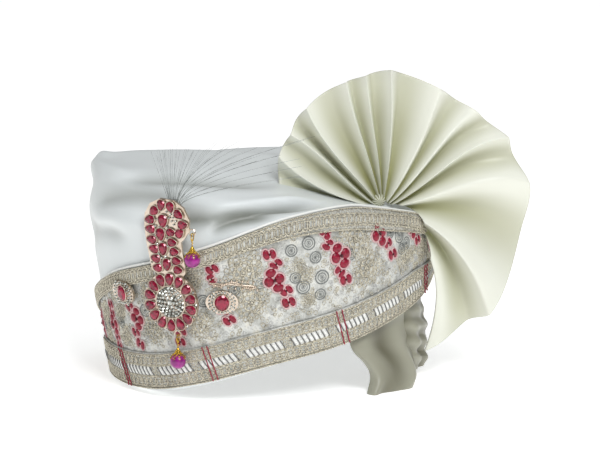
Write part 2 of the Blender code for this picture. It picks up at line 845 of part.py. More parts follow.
def centre_crystals():
    """The clear crystals in the flower's middle, as one field of small raised points."""
    across, up, out = brooch_axes()
    base = on_brooch(0.0, 0.0, PLATE_THICKNESS + GAP)
    sides = 24
    rows = ((1.0, 0.0), (1.0, 0.35), (0.86, 0.9), (0.70, 0.45), (0.54, 1.0), (0.36, 0.55))
    sections = []
    for r, (share, height) in enumerate(rows):
        ring = []
        for k in range(sides):
            turn = 2 * math.pi * (k + 0.5 * (r % 2)) / sides
            high = height - (0.35 if r > 1 and k % 2 else 0.0)
            far = CRYSTAL_RADIUS * share
            ring.append(
                base
                + across * far * math.cos(turn)
                + up * far * math.sin(turn)
                + out * max(high, 0.0) * CRYSTAL_HEIGHT
            )
        sections.append(ring)
    loft("centre_crystals", sections, "crystal", "facets")


def side_axes(angle, along):
    out = skin_normal(angle, along).reshape(3)
    across = np.cross(np.array([0.0, 0.0, 1.0]), out)
    across = across / np.linalg.norm(across)
    return across, np.cross(out, across), out


def side_setting(name, angle):
    """An oval stone in its own crystal mount, laid on the band beside the flower."""
    along = float(along_at(angle, BROOCH_UP))
    across, up, out = side_axes(angle, along)
    start = skin(angle, along).reshape(3)
    half_height = SIDE_HALF_HEIGHT
    stand = seat(start, across, up, out, SIDE_HALF_WIDTH, -half_height, half_height)
    base = start + out * stand
    outline = []
    for k in range(20):
        turn = 2 * math.pi * k / 20
        outline.append((SIDE_HALF_WIDTH * math.cos(turn), SIDE_HALF_HEIGHT * math.sin(turn)))
    prism(f"{name}_side_setting", outline, across, up, out, base, PLATE_THICKNESS, "crystal")
    cut_stone(
        f"{name}_oval_stone",
        OVAL_LENGTH,
        OVAL_WIDTH,
        base + out * (PLATE_THICKNESS + GAP),
        (across, up, out),
        0.0,
        0.0,
        "red_stone",
    )


def turned(name, rings, place, sides, look):
    """A round solid about a vertical line, from rings of radius and height."""
    sections = []
    for radius, height in rings:
        ring = []
        for k in range(sides):
            turn = 2 * math.pi * k / sides
            ring.append(
                np.array(place)
                + np.array([radius * math.cos(turn), radius * math.sin(turn), height])
            )
        sections.append(ring)
    return loft(name, sections, look, "turned")


def drop(name):
    """A bead under a gold cap, which hangs by its wire loop from an eye of the brooch."""
    eye = eye_centre(name)
    clear = EYE_RADIUS - 2 * WIRE_RADIUS - GAP
    loop = eye - np.array([0.0, 0.0, EYE_RADIUS + clear])
    stem_top = -LOOP_RADIUS
    cap_top = stem_top - STEM_LENGTH
    cap_low = cap_top - CAP_HEIGHT
    rings = (
        (WIRE_RADIUS, stem_top),
        (WIRE_RADIUS * 1.3, cap_top),
        (CAP_RADIUS * 0.55, cap_top - 0.15 * CAP_HEIGHT),
        (CAP_RADIUS, cap_low),
    )
    cap = turned(f"{name}_drop_cap", rings, loop, 12, "gold")
    side_on = Matrix.Translation(Vector(loop)) @ Matrix.Rotation(math.radians(90), 4, "Y")
    join_solid(cap, ring_solid(LOOP_RADIUS, WIRE_RADIUS, side_on))
    centre = cap_low - GAP - BEAD_RADIUS
    steps = 8
    bead = []
    for i in range(1, steps):
        turn = math.pi * i / steps
        bead.append((BEAD_RADIUS * math.sin(turn), centre + BEAD_RADIUS * math.cos(turn)))
    turned(f"{name}_drop_bead", bead, loop, 14, "magenta_bead")


def plume():
    """Strips that spread from one head behind the top of the brooch."""
    across, up, out = brooch_axes()
    head_up = PAISLEY_OUTLINE[6][1] * BROOCH_HEIGHT - PLUME_HEAD_HEIGHT
    head = on_brooch(0.05 * BROOCH_HEIGHT, head_up, -GAP - PLUME_HEAD_DEPTH)
    cells = 2 * len(PLUME_STRIPS) - 1
    wide = PLUME_HEAD_WIDTH / cells
    points = []
    faces = []
    for i in range(cells + 1):
        along = (i - cells / 2) * wide
        for depth in (0.0, PLUME_HEAD_DEPTH):
            for high in (0.0, PLUME_HEAD_HEIGHT):
                points.append(head + across * along + out * depth + up * high)
    for i in range(cells):
        a, b = 4 * i, 4 * (i + 1)
        faces.append((a, a + 1, b + 1, b))
        faces.append((a + 2, b + 2, b + 3, a + 3))
        faces.append((a, b, b + 2, a + 2))
        if i % 2:
            faces.append((a + 1, a + 3, b + 3, b + 1))
    faces.append((0, 2, 3, 1))
    last = 4 * cells
    faces.append((last, last + 1, last + 3, last + 2))
    for i, (by_across, by_back, by_up) in enumerate(PLUME_STRIPS):
        a, b = 8 * i, 8 * i + 4
        ring = [a + 1, a + 3, b + 3, b + 1]
        tip = np.array([by_across, by_back, by_up]) * PLUME_LENGTH
        start = [np.array(points[k]) for k in ring]
        for s in np.linspace(0.0, 1.0, 9)[1:]:
            bend = tip * np.array([s**1.5, s**1.6, s ** (0.75 if by_across > 0.3 else 1.0)])
            narrow = 1.0 - 0.55 * s
            middle = np.mean(start, axis=0)
            fresh = []
            for corner in start:
                fresh.append(len(points))
                points.append(middle + (corner - middle) * narrow + bend)
            for k in range(4):
                n = (k + 1) % 4
                faces.append((ring[k], ring[n], fresh[n], fresh[k]))
            ring = fresh
        faces.append(tuple(ring))
    add_mesh("plume", points, faces, "filament", "strips")


def brooch():
    brooch_setting()
    flower_stones()
    paisley_stones()
    centre_crystals()
    side_setting("right", 22.0)
    side_setting("left", -17.0)
    for name in EYES:
        drop(name)
    plume()


def stand_on_middle():
    """Moves every piece alike, so that z = 0 runs under the rim and the origin is mid-footprint."""
    bpy.context.view_layer.update()
    corners = []
    for obj in bpy.context.scene.objects:
        if not obj.hide_render:
            corners += [obj.matrix_world @ Vector(corner) for corner in obj.bound_box]
    low = [min(corner[i] for corner in corners) for i in range(3)]
    high = [max(corner[i] for corner in corners) for i in range(3)]
    middle = Vector(((low[0] + high[0]) / 2, (low[1] + high[1]) / 2, low[2]))
    for obj in bpy.context.scene.objects:
        obj.location -= middle


def main():
    clear_scene()
    crown_cloth()
    band()
    fan_knot()
    pleated_fan()
    tail("front_tail", FRONT_TAIL, FRONT_TAIL_ANGLES, "ivory_satin")
    tail("rear_tail", REAR_TAIL, REAR_TAIL_ANGLES, "ivory_satin")
    brooch()
    stand_on_middle()


main()
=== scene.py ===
"""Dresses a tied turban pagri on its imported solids: a wound satin crown, an embroidered band with
lace borders, a pleated fan, two cloth ends, and a jewelled brooch with two drops and a plume."""

import math

import bpy
import numpy as np
from bpy.props import FloatProperty, FloatVectorProperty, IntProperty, PointerProperty
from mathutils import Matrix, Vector


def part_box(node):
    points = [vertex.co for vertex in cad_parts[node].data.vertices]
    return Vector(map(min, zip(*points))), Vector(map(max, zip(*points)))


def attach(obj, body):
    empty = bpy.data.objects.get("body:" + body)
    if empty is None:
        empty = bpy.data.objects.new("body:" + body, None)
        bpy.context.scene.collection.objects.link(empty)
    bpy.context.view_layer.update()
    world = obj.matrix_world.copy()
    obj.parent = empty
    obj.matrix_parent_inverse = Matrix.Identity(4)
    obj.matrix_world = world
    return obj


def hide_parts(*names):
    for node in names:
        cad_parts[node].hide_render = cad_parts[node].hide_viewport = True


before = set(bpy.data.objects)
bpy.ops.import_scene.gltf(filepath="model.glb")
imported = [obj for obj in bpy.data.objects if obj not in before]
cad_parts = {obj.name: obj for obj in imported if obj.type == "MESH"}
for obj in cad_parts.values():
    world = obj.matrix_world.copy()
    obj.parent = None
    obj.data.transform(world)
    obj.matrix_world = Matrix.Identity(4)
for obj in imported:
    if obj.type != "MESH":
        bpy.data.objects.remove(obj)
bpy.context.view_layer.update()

bl_info = {
    "name": "Tied Turban Pagri",
    "version": (1, 0, 0),
    "blender": (4, 5, 0),
    "location": "3D View > Sidebar > Pagri",
    "description": "Builds the cloth, embroidery and jewels of a tied turban",
    "category": "Add Mesh",
}

MM = 0.001

# The hat's own shape, as the solids have it

GAP = 0.35 * MM
BORDER_GAP = 0.5 * MM
CROWN_WALL = 8.0 * MM
BAND_THICKNESS = 2.2 * MM
BORDER_THICKNESS = 1.4 * MM
HALF_WIDTH = 95.5 * MM
HALF_DEPTH = 116.5 * MM
CROWN_HEIGHT = 142.0 * MM
CROWN_LEAN = 7.0 * MM
LEFT_FALL = 12.0 * MM
SATIN_EDGE = 3.0 * MM
UPPER_BORDER_WIDTH = 10.0 * MM
LOWER_BORDER_WIDTH = 24.0 * MM
BUNDLE_ROOM = 6.0 * MM
FAN_RADIUS = 92.0 * MM
FAN_FACING = 42.0
KNOT_RADIUS = 5.5 * MM
KNOT_ANGLE = 88.0
KNOT_ALONG = 0.635
KNOT_DENT = 12.0 * MM
KNOT_DENT_REACH = 34.0 * MM
TAIL_SWELL = 12.0 * MM

PROFILE = np.array((
    # along, reach, rise
    (0.00, 0.950, 0.000),
    (0.15, 1.000, 0.250),
    (0.30, 1.045, 0.500),
    (0.44, 1.085, 0.740),
    (0.53, 1.075, 0.880),
    (0.585, 1.030, 0.953),
    (0.65, 0.920, 0.985),
    (0.78, 0.600, 1.000),
    (0.90, 0.270, 0.998),
    (1.00, 0.000, 0.995),
))
EDGES = np.array((
    # angle, rim, band_top, stand
    (-180.0, 0.000, 0.100, 0.0),
    (-102.0, 0.000, 0.115, 0.0),
    (-75.0, 0.000, 0.240, 0.0),
    (-55.0, 0.000, 0.370, 0.0),
    (-34.0, 0.000, 0.490, 0.0),
    (-21.0, 0.002, 0.565, 0.0),
    (-5.0, 0.020, 0.625, 0.0),
    (15.0, 0.078, 0.705, 0.0),
    (27.0, 0.122, 0.765, 0.0),
    (37.0, 0.155, 0.812, 0.0),
    (49.0, 0.190, 0.842, 0.35),
    (64.0, 0.238, 0.836, 1.0),
    (78.0, 0.285, 0.795, 1.0),
    (96.0, 0.345, 0.745, 1.0),
    (110.0, 0.395, 0.680, 0.7),
    (120.0, 0.420, 0.625, 0.4),
    (138.0, 0.210, 0.500, 0.0),
    (158.0, 0.000, 0.300, 0.0),
    (180.0, 0.000, 0.100, 0.0),
))
BAND_START = -102.0
BAND_END = 120.0


def smooth_read(keys, values, at):
    """Reads a smooth curve through the rows of a table."""
    slopes = np.gradient(values, keys)
    at = np.clip(at, keys[0], keys[-1])
    row = np.clip(np.searchsorted(keys, at) - 1, 0, len(keys) - 2)
    step = keys[row + 1] - keys[row]
    share = (at - keys[row]) / step
    square, cube = share**2, share**3
    return (
        (2 * cube - 3 * square + 1) * values[row]
        + (cube - 2 * square + share) * step * slopes[row]
        + (3 * square - 2 * cube) * values[row + 1]
        + (cube - square) * step * slopes[row + 1]
    )


def smooth_step(value):
    share = np.clip(value, 0.0, 1.0)
    return share * share * (3 - 2 * share)


def profile(along):
    keys = PROFILE[:, 0]
    return smooth_read(keys, PROFILE[:, 1], along), smooth_read(keys, PROFILE[:, 2], along)


def smooth_edge(index, angle):
    """A column of the edge table, averaged over a few degrees so that the edge bends softly."""
    total = 0.0
    spread = (-6.0, -3.0, 0.0, 3.0, 6.0)
    for side in spread:
        turned = (np.asarray(angle, float) + side + 180.0) % 360.0 - 180.0
        total = total + np.interp(turned, EDGES[:, 0], EDGES[:, index])
    return total / len(spread)


def rim_height(angle):
    return smooth_edge(1, angle) * CROWN_HEIGHT


def band_top(angle):
    return smooth_edge(2, angle) * CROWN_HEIGHT


def band_bottom(angle):
    return rim_height(angle) + SATIN_EDGE


def band_stand(angle):
    return smooth_edge(3, angle) * BUNDLE_ROOM


def border_widths(angle):
    """The upper and the lower border's width, which narrow with the band."""
    height = band_top(angle) - band_bottom(angle)
    return np.minimum(UPPER_BORDER_WIDTH, 0.30 * height), np.minimum(LOWER_BORDER_WIDTH, 0.42 * height)


def crown_height(x, y):
    """The crown's height over a place in plan: it falls to the left and dips under the knot."""
    fall = LEFT_FALL * smooth_step((x + 0.2 * HALF_WIDTH) / (1.2 * HALF_WIDTH))
    reach = profile(KNOT_ALONG)[0]
    turn = math.radians(KNOT_ANGLE)
    foot_x = HALF_WIDTH * reach * math.sin(turn) - CROWN_LEAN
    foot_y = -HALF_DEPTH * reach * math.cos(turn)
    away = ((x - foot_x) ** 2 + (y - foot_y) ** 2) / KNOT_DENT_REACH**2
    return CROWN_HEIGHT - fall - KNOT_DENT * np.exp(-away / 2)


def bare_skin(angle, along):
    """The crown's smooth surface about its own middle."""
    turn = np.radians(angle)
    reach, rise = profile(along)
    x = HALF_WIDTH * reach * np.sin(turn)
    y = -HALF_DEPTH * reach * np.cos(turn)
    return np.stack([x - CROWN_LEAN * rise, y, rise * crown_height(x, y)], axis=-1)


def skin_normal(angle, along):
    low = np.clip(along - 0.004, 0.0, 0.99)
    high = np.clip(along + 0.004, 0.01, 1.0)
    round_it = bare_skin(angle + 0.4, along) - bare_skin(angle - 0.4, along)
    up_it = bare_skin(angle, high) - bare_skin(angle, low)
    normal = np.cross(round_it, up_it)
    length = np.linalg.norm(normal, axis=-1, keepdims=True)
    upward = np.array([0.0, 0.0, 1.0])
    return np.where(length < 1e-12, upward, normal / np.maximum(length, 1e-12))


def same_shape(*values):
    return np.broadcast_arrays(*(np.asarray(v, float) for v in values))


def knot_middle():
    """The knot's middle about the crown's own middle."""
    reach_out = KNOT_RADIUS + GAP
    return bare_skin(KNOT_ANGLE, KNOT_ALONG) + skin_normal(KNOT_ANGLE, KNOT_ALONG) * reach_out


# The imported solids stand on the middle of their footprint: the knot tells how far they were moved
KNOT_BOX = np.array(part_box("fan_knot"))
SHIFT = KNOT_BOX.mean(axis=0) - knot_middle()
SHIFT[2] = 0.0


def over_skin(angle, along, off):
    """A place off the crown's surface, in the frame's own coordinates."""
    angle, along, off = same_shape(angle, along, off)
    return bare_skin(angle, along) + skin_normal(angle, along) * off[..., None] + SHIFT


def along_at(angle, height):
    """The share of the crown's outline at which its side reaches a height."""
    angle, height = same_shape(angle, height)
    low = np.zeros(angle.shape)
    high = np.full(angle.shape, 0.66)
    for _ in range(24):
        middle = (low + high) / 2
        under = bare_skin(angle, middle)[..., 2] < height
        low = np.where(under, middle, low)
        high = np.where(under, high, middle)
    return (low + high) / 2


def on_band(angle, share, off):
    """A place on the band by angle and by share of its height, off its outer face."""
    angle, share, off = same_shape(angle, share, off)
    low = band_bottom(angle)
    height = low + (band_top(angle) - low) * share
    stand = band_stand(angle) + GAP + BAND_THICKNESS
    return over_skin(angle, along_at(angle, height), stand + off)


def band_frames(angle, share):
    """Across, up and out of the band at many places, as rows of 3 by 3 matrices."""
    across = on_band(angle + 0.4, share, 0.0) - on_band(angle - 0.4, share, 0.0)
    across /= np.linalg.norm(across, axis=-1, keepdims=True)
    up = on_band(angle, share + 0.01, 0.0) - on_band(angle, share - 0.01, 0.0)
    out = np.cross(across, up)
    out /= np.linalg.norm(out, axis=-1, keepdims=True)
    return np.stack([across, np.cross(out, across), out], axis=-1)


def evenly_along(share, spacing, start=BAND_START, end=BAND_END):
    """Angles that lie an even distance apart along a line of the band."""
    fine = np.linspace(start, end, 600)
    line = on_band(fine, share, 0.0)
    gone = np.concatenate([[0.0], np.cumsum(np.linalg.norm(np.diff(line, axis=0), axis=1))])
    count = max(2, int(round(gone[-1] / spacing)))
    at = (np.arange(count) + 0.5) / count * gone[-1]
    return np.interp(at, gone, fine)


# Making meshes


class Pile:
    """The points and faces of one piece, gathered from its parts."""

    def __init__(self):
        self.points = []
        self.faces = []
        self.looks = []
        self.count = 0

    def add(self, points, faces, look=0):
        points = np.asarray(points, float).reshape(-1, 3)
        self.points.append(points)
        self.count += len(points)
        self.add_faces(faces, self.count - len(points), look)

    def stamp(self, shape, middles, frames, sizes, look=0):
        """Puts a copy of one small shape at every place, turned and sized."""
        points, faces = shape
        middles = np.asarray(middles, float).reshape(-1, 3)
        frames = np.broadcast_to(frames, (len(middles), 3, 3))
        sizes = np.asarray(sizes, float)
        sizes = np.broadcast_to(sizes if sizes.ndim == 2 else sizes.reshape(-1, 1), (len(middles), 3))
        local = points[None] * sizes[:, None, :]
        placed = np.einsum("nij,nmj->nmi", frames, local) + middles[:, None, :]
        step = np.arange(len(middles)) * len(points)
        base = self.count
        self.points.append(placed.reshape(-1, 3))
        self.count += placed.shape[0] * placed.shape[1]
        for kind in faces:
            many = kind[None] + step[:, None, None]
            self.add_faces(many.reshape(-1, kind.shape[1]), base, look)

    def add_faces(self, faces, base, look=0):
        self.faces.append(np.asarray(faces, int) + base)
        self.looks.append(np.full(len(faces), look))

    def make(self, name, materials, smooth=True, sharp=None):
        mesh = bpy.data.meshes.new(name)
        points = np.concatenate(self.points)
        faces = [tuple(f) for group in self.faces for f in group.tolist()]
        mesh.from_pydata(points.tolist(), [], faces)
        for given in materials:
            mesh.materials.append(given)
        mesh.polygons.foreach_set("material_index", np.concatenate(self.looks).astype(np.int32))
        mesh.validate()
        mesh.update()
        if smooth:
            mesh.shade_smooth()
        if sharp is not None:
            mesh.set_sharp_from_angle(angle=math.radians(sharp))
        made = bpy.data.objects.new(name, mesh)
        bpy.context.scene.collection.objects.link(made)
        return made


def grid_quads(rows, columns, wrap=False):
    """Faces of a grid of points, which may close on itself from last column to first."""
    r, c = np.meshgrid(np.arange(rows - 1), np.arange(columns if wrap else columns - 1), indexing="ij")
    d = (c + 1) % columns
    corners = (r * columns + c, r * columns + d, (r + 1) * columns + d, (r + 1) * columns + c)
    return np.stack(corners, -1).reshape(-1, 4)


def add_cloth(pile, face, back, look=0):
    """A sheet with its two faces and the edge between them."""
    rows, columns = face.shape[:2]
    count = rows * columns
    quads = grid_quads(rows, columns)
    edge = [c for c in range(columns)]
    edge += [r * columns + columns - 1 for r in range(1, rows)]
    edge += [(rows - 1) * columns + c for c in range(columns - 2, -1, -1)]
    edge += [r * columns for r in range(rows - 2, 0, -1)]
    edge = np.array(edge)
    after = np.roll(edge, -1)
    sides = np.stack([after, edge, edge + count, after + count], -1)
    faces = np.concatenate([quads, quads[:, ::-1] + count, sides])
    pile.add(np.concatenate([face.reshape(-1, 3), back.reshape(-1, 3)]), faces, look)


def add_tube(pile, path, radius, sides=6, look=0, closed=False):
    """A round thread along a path."""
    path = np.asarray(path, float)
    radius = np.broadcast_to(np.asarray(radius, float), (len(path),))
    if closed:
        forth = np.roll(path, -1, axis=0) - np.roll(path, 1, axis=0)
    else:
        forth = np.gradient(path, axis=0)
    forth /= np.maximum(np.linalg.norm(forth, axis=1, keepdims=True), 1e-12)
    side = np.zeros_like(path)
    least = np.eye(3)[np.argmin(np.abs(forth[0]))]
    side[0] = np.cross(forth[0], least)
    for i in range(1, len(path)):
        side[i] = side[i - 1] - forth[i] * (side[i - 1] @ forth[i])
        side[i] /= max(np.linalg.norm(side[i]), 1e-12)
    side[0] /= max(np.linalg.norm(side[0]), 1e-12)
    up = np.cross(forth, side)
    turn = 2 * math.pi * np.arange(sides) / sides
    ring = side[:, None] * np.cos(turn)[None, :, None] + up[:, None] * np.sin(turn)[None, :, None]
    points = path[:, None] + ring * radius[:, None, None]
    faces = grid_quads(len(path), sides, True)
    if closed:
        last = (len(path) - 1) * sides
        a = np.arange(sides)
        b = (a + 1) % sides
        faces = np.concatenate([faces, np.stack([last + a, last + b, b, a], -1)])
    base = pile.count
    ends = np.stack([path[0], path[-1]])
    pile.add(np.concatenate([points.reshape(-1, 3), ends]), faces, look)
    if not closed:
        a = np.arange(sides)
        b = (a + 1) % sides
        last = (len(path) - 1) * sides
        start_cap = np.stack([b, a, np.full(sides, last + sides)], -1)
        end_cap = np.stack([last + a, last + b, np.full(sides, last + sides + 1)], -1)
        pile.add_faces(np.concatenate([start_cap, end_cap]), base, look)


def ring_shape(thread, sides=12, thread_sides=4, flat=1.0):
    """A ring of thread with a radius of one, as a shape to stamp."""
    turn = 2 * math.pi * np.arange(sides) / sides
    roll = 2 * math.pi * np.arange(thread_sides) / thread_sides
    far = 1 + thread * np.cos(roll)[None, :]
    points = np.stack([
        far * np.cos(turn)[:, None],
        far * np.sin(turn)[:, None],
        np.broadcast_to(thread * flat * np.sin(roll)[None, :], (sides, thread_sides)),
    ], -1).reshape(-1, 3)
    a = np.arange(sides)[:, None] * thread_sides + np.arange(thread_sides)[None, :]
    b = np.roll(a, -1, axis=0)
    faces = np.stack([a, b, np.roll(b, -1, axis=1), np.roll(a, -1, axis=1)], -1).reshape(-1, 4)
    return points, [faces]


def dome_shape(sides=12, rings=4, base=-0.15):
    """A dome with a radius and height of one, with a short wall under it."""
    rows = [(1.0, base)]
    for k in range(rings):
        lift = math.pi / 2 * k / rings
        rows.append((math.cos(lift), math.sin(lift)))
    turn = 2 * math.pi * np.arange(sides) / sides
    points = [[r * math.cos(t), r * math.sin(t), z] for r, z in rows for t in turn] + [[0.0, 0.0, 1.0]]
    last = (len(rows) - 1) * sides
    a = np.arange(sides)
    cap = np.stack([last + a, last + (a + 1) % sides, np.full(sides, len(points) - 1)], -1)
    return np.array(points), [grid_quads(len(rows), sides, True), cap]


def cut_shape(sides=8, table=0.55, crown=0.55, depth=0.35):
    """A cut stone with a radius of one: a flat table, crown facets and a short wall."""
    rows = [(0.75, -depth), (1.0, 0.0), (table, crown)]
    turn = 2 * math.pi * np.arange(sides) / sides
    points = [[r * math.cos(t), r * math.sin(t), z] for r, z in rows for t in turn] + [[0.0, 0.0, crown]]
    last = 2 * sides
    a = np.arange(sides)
    cap = np.stack([last + a, last + (a + 1) % sides, np.full(sides, len(points) - 1)], -1)
    return np.array(points), [grid_quads(3, sides, True), cap]


def turned_frames(frames, degrees):
    """Frames turned about their own outward direction."""
    turn = np.radians(np.broadcast_to(degrees, (len(frames),)))
    spin = np.zeros((len(frames), 3, 3))
    spin[:, 0, 0] = np.cos(turn)
    spin[:, 0, 1] = -np.sin(turn)
    spin[:, 1, 0] = np.sin(turn)
    spin[:, 1, 1] = np.cos(turn)
    spin[:, 2, 2] = 1.0
    return frames @ spin


def tint(obj, values, name="shade"):
    """Keeps one number for each point, which the material reads as a colour: on satin the amount of painted
    shade, and on cut stones the amount of painted glint against painted shade.
    """
    layer = obj.data.color_attributes.new(name, "FLOAT_COLOR", "POINT")
    values = np.clip(np.asarray(values, float), 0.0, 1.0).reshape(-1)
    grey = np.repeat(values[:, None], 4, axis=1)
    grey[:, 3] = 1.0
    layer.data.foreach_set("color", grey.reshape(-1))


# Materials


def linear(code):
    """An sRGB hex colour as linear red, green and blue."""
    parts = [int(code[i : i + 2], 16) / 255 for i in (1, 3, 5)]
    return tuple(p / 12.92 if p <= 0.04045 else ((p + 0.055) / 1.055) ** 2.4 for p in parts)


def node(tree, kind, settings=None, links=None):
    """Adds a node with its settings and links."""
    made = tree.nodes.new(kind)
    for key, value in (settings or {}).items():
        if key == "ramp":
            stops = made.color_ramp.elements
            while len(stops) < len(value):
                stops.new(0.5)
            for stop, (place, colour) in zip(stops, value, strict=True):
                stop.position = place
                stop.color = (*colour, 1.0)
        elif isinstance(key, int) or key in made.inputs:
            made.inputs[key].default_value = value
        else:
            setattr(made, key, value)
    for key, source in (links or {}).items():
        tree.links.new(source, made.inputs[key])
    return made


def ramp(tree, source, stops):
    """A ramp of colours. Its stops are given as (place, colour)."""
    return node(tree, "ShaderNodeValToRGB", {"ramp": stops}, {"Fac": source})


def relief(tree, source, strength, depth):
    """Small relief in a surface, as deep as given."""
    return node(tree, "ShaderNodeBump", {"Strength": strength, "Distance": depth}, {"Height": source})


def noise(tree, place, settings):
    """Cloudy noise, read at the given coordinates."""
    return node(tree, "ShaderNodeTexNoise", settings, {"Vector": place})


def darker(colour, share):
    """A colour with only a share of its light."""
    return tuple(part * share for part in colour)


def new_material(name, settings):
    made = bpy.data.materials.new(name)
    made.use_nodes = True
    shader = made.node_tree.nodes["Principled BSDF"]
    for key, value in settings.items():
        shader.inputs[key].default_value = value
    return made, made.node_tree, shader


def rgba(colour):
    return (*colour, 1.0)


def satin(name, light, shaded, roughness, weave_mm):
    """Polyester satin, woven with long floats: smooth and softly glossy, with painted shade, warmer in tone,
    in its folds.
    """
    made, tree, shader = new_material(name, {
        "Roughness": roughness, "IOR": 1.5, "Specular IOR Level": 0.5,
        "Sheen Weight": 0.25, "Sheen Roughness": 0.4, "Sheen Tint": rgba((0.95, 0.95, 0.9)),
    })
    place = node(tree, "ShaderNodeTexCoord").outputs["Object"]
    # The shade attribute is painted shade: how deep each point lies in a fold, read as a darker, warmer
    # colour
    depth = node(tree, "ShaderNodeVertexColor", {"layer_name": "shade"}).outputs["Color"]
    # Broad random patches, 40 mm across, as in cloth that is never dyed quite evenly, draw the colour a
    # little towards the painted shade colour
    patches = noise(tree, place, {"Scale": 25.0, "Detail": 2.0})
    low = node(tree, "ShaderNodeMapRange", {"To Min": 0.0, "To Max": 0.16}, {"Value": patches.outputs["Fac"]})
    both = node(tree, "ShaderNodeMath", {"operation": "ADD", "use_clamp": True},
                {0: depth, 1: low.outputs["Result"]})
    colour = node(tree, "ShaderNodeMix", {"data_type": "RGBA", 6: rgba(light), 7: rgba(shaded)},
                  {0: both.outputs[0]})
    tree.links.new(colour.outputs[2], shader.inputs["Base Color"])
    # The real floats lie 0.15 mm apart, which is too fine to show, so they are drawn coarser
    size = 1.0 / (weave_mm * MM)
    slack = noise(tree, place, {"Scale": size, "Detail": 3.0, "Roughness": 0.6})
    weave = node(tree, "ShaderNodeTexWave",
                 {"Scale": size / 6.28, "Distortion": 1.5, "bands_direction": "DIAGONAL"},
                 {"Vector": place})
    mixed = node(tree, "ShaderNodeMix", {"data_type": "FLOAT", 0: 0.5},
                 {2: slack.outputs["Fac"], 3: weave.outputs["Fac"]})
    bump = relief(tree, mixed.outputs[0], 0.10, 0.12 * MM)
    # Fine creases, 6 mm apart, that handling leaves in satin
    crease = noise(tree, place, {"Scale": 60.0, "Detail": 4.0, "Roughness": 0.55, "Distortion": 0.6})
    soft = node(tree, "ShaderNodeBump", {"Strength": 0.22, "Distance": 0.8 * MM},
                {"Height": crease.outputs["Fac"], "Normal": bump.outputs["Normal"]})
    tree.links.new(soft.outputs["Normal"], shader.inputs["Normal"])
    return made


def silver_tissue(name, light, grey, champagne):
    """Silver tissue net, woven of flat metal strip and silk: a soft grey shimmer over fine holes."""
    made, tree, shader = new_material(name, {"Roughness": 0.46, "Metallic": 0.15, "IOR": 1.5})
    place = node(tree, "ShaderNodeTexCoord").outputs["Object"]
    # Meshes of the net are 1.1 mm, drawn at 1.4 mm so that they show
    cells = node(tree, "ShaderNodeTexVoronoi", {"Scale": 1 / (1.4 * MM), "feature": "F1"}, {"Vector": place})
    clouds = noise(tree, place, {"Scale": 1 / (9 * MM), "Detail": 5.0, "Roughness": 0.65})
    base = ramp(tree, clouds.outputs["Fac"], ((0.30, grey), (0.55, light), (0.80, champagne)))
    holes = node(tree, "ShaderNodeMapRange",
                 {"From Min": 0.0, "From Max": 0.55, "To Min": 0.72, "To Max": 1.0},
                 {"Value": cells.outputs["Distance"]})
    dark = node(tree, "ShaderNodeMix", {"data_type": "RGBA", "blend_type": "MULTIPLY", 0: 1.0},
                {6: base.outputs["Color"], 7: holes.outputs["Result"]})
    tree.links.new(dark.outputs[2], shader.inputs["Base Color"])
    bump = relief(tree, cells.outputs["Distance"], 0.5, 0.4 * MM)
    tree.links.new(bump.outputs["Normal"], shader.inputs["Normal"])
    return made


def thread(name, light, dark, roughness, metallic, twist_mm):
    """Embroidery thread, twisted or wound: a painted highlight on each turn and painted shade between two."""
    made, tree, shader = new_material(name, {"Roughness": roughness, "Metallic": metallic, "IOR": 1.5})
    place = node(tree, "ShaderNodeTexCoord").outputs["Object"]
    # The turns of the thread are drawn at about twice their real spacing, so that they show
    turns = noise(tree, place, {"Scale": 1 / (twist_mm * MM), "Detail": 2.0, "Roughness": 0.7})
    # Painted light and shade: the noise mixes the lit and the shaded colour of the thread
    colour = ramp(tree, turns.outputs["Fac"], ((0.32, dark), (0.62, light)))
    bump = relief(tree, turns.outputs["Fac"], 0.5, 0.25 * MM)
    tree.links.new(colour.outputs["Color"], shader.inputs["Base Color"])
    tree.links.new(bump.outputs["Normal"], shader.inputs["Normal"])
    return made


def glass_stone(name, light, dark, metallic):
    """Moulded glass on foil: a hard, wet-looking gloss over a bright back, with a random amount of painted
    glint and painted shade on each facet.
    """
    made, tree, shader = new_material(name, {
        "Roughness": 0.09, "Metallic": metallic, "IOR": 1.55, "Coat Weight": 0.6, "Coat Roughness": 0.03,
    })
    place = node(tree, "ShaderNodeTexCoord").outputs["Object"]
    # The shade attribute holds painted glint against painted shade, a random amount for each point of a facet
    facet_glint = node(tree, "ShaderNodeVertexColor", {"layer_name": "shade"}).outputs["Color"]
    # Flaws in the foil, 0.8 mm across
    foil = noise(tree, place, {"Scale": 1 / (0.8 * MM), "Detail": 1.0})
    both = node(tree, "ShaderNodeMix", {"data_type": "RGBA", 0: 0.3}, {6: facet_glint, 7: foil.outputs["Color"]})
    colour = ramp(tree, both.outputs[2], ((0.25, dark), (0.75, light)))
    tree.links.new(colour.outputs["Color"], shader.inputs["Base Color"])
    return made


def plated_metal(name, light, dark, roughness):
    """Cast brass alloy, polished and plated: mirror bright on edges, duller where polish misses."""
    made, tree, shader = new_material(name, {"Metallic": 1.0})
    place = node(tree, "ShaderNodeTexCoord").outputs["Object"]
    # Casting grain is 0.3 mm, drawn at 0.6 mm
    grain = noise(tree, place, {"Scale": 1 / (0.6 * MM), "Detail": 3.0})
    wear = noise(tree, place, {"Scale": 1 / (5 * MM), "Detail": 2.0})
    colour = node(tree, "ShaderNodeMix", {"data_type": "RGBA", 6: rgba(dark), 7: rgba(light)},
                  {0: wear.outputs["Fac"]})
    rough = node(tree, "ShaderNodeMapRange", {"To Min": roughness * 0.7, "To Max": roughness * 1.4},
                 {"Value": grain.outputs["Fac"]})
    bump = relief(tree, grain.outputs["Fac"], 0.25, 0.1 * MM)
    tree.links.new(colour.outputs[2], shader.inputs["Base Color"])
    tree.links.new(rough.outputs["Result"], shader.inputs["Roughness"])
    tree.links.new(bump.outputs["Normal"], shader.inputs["Normal"])
    return made


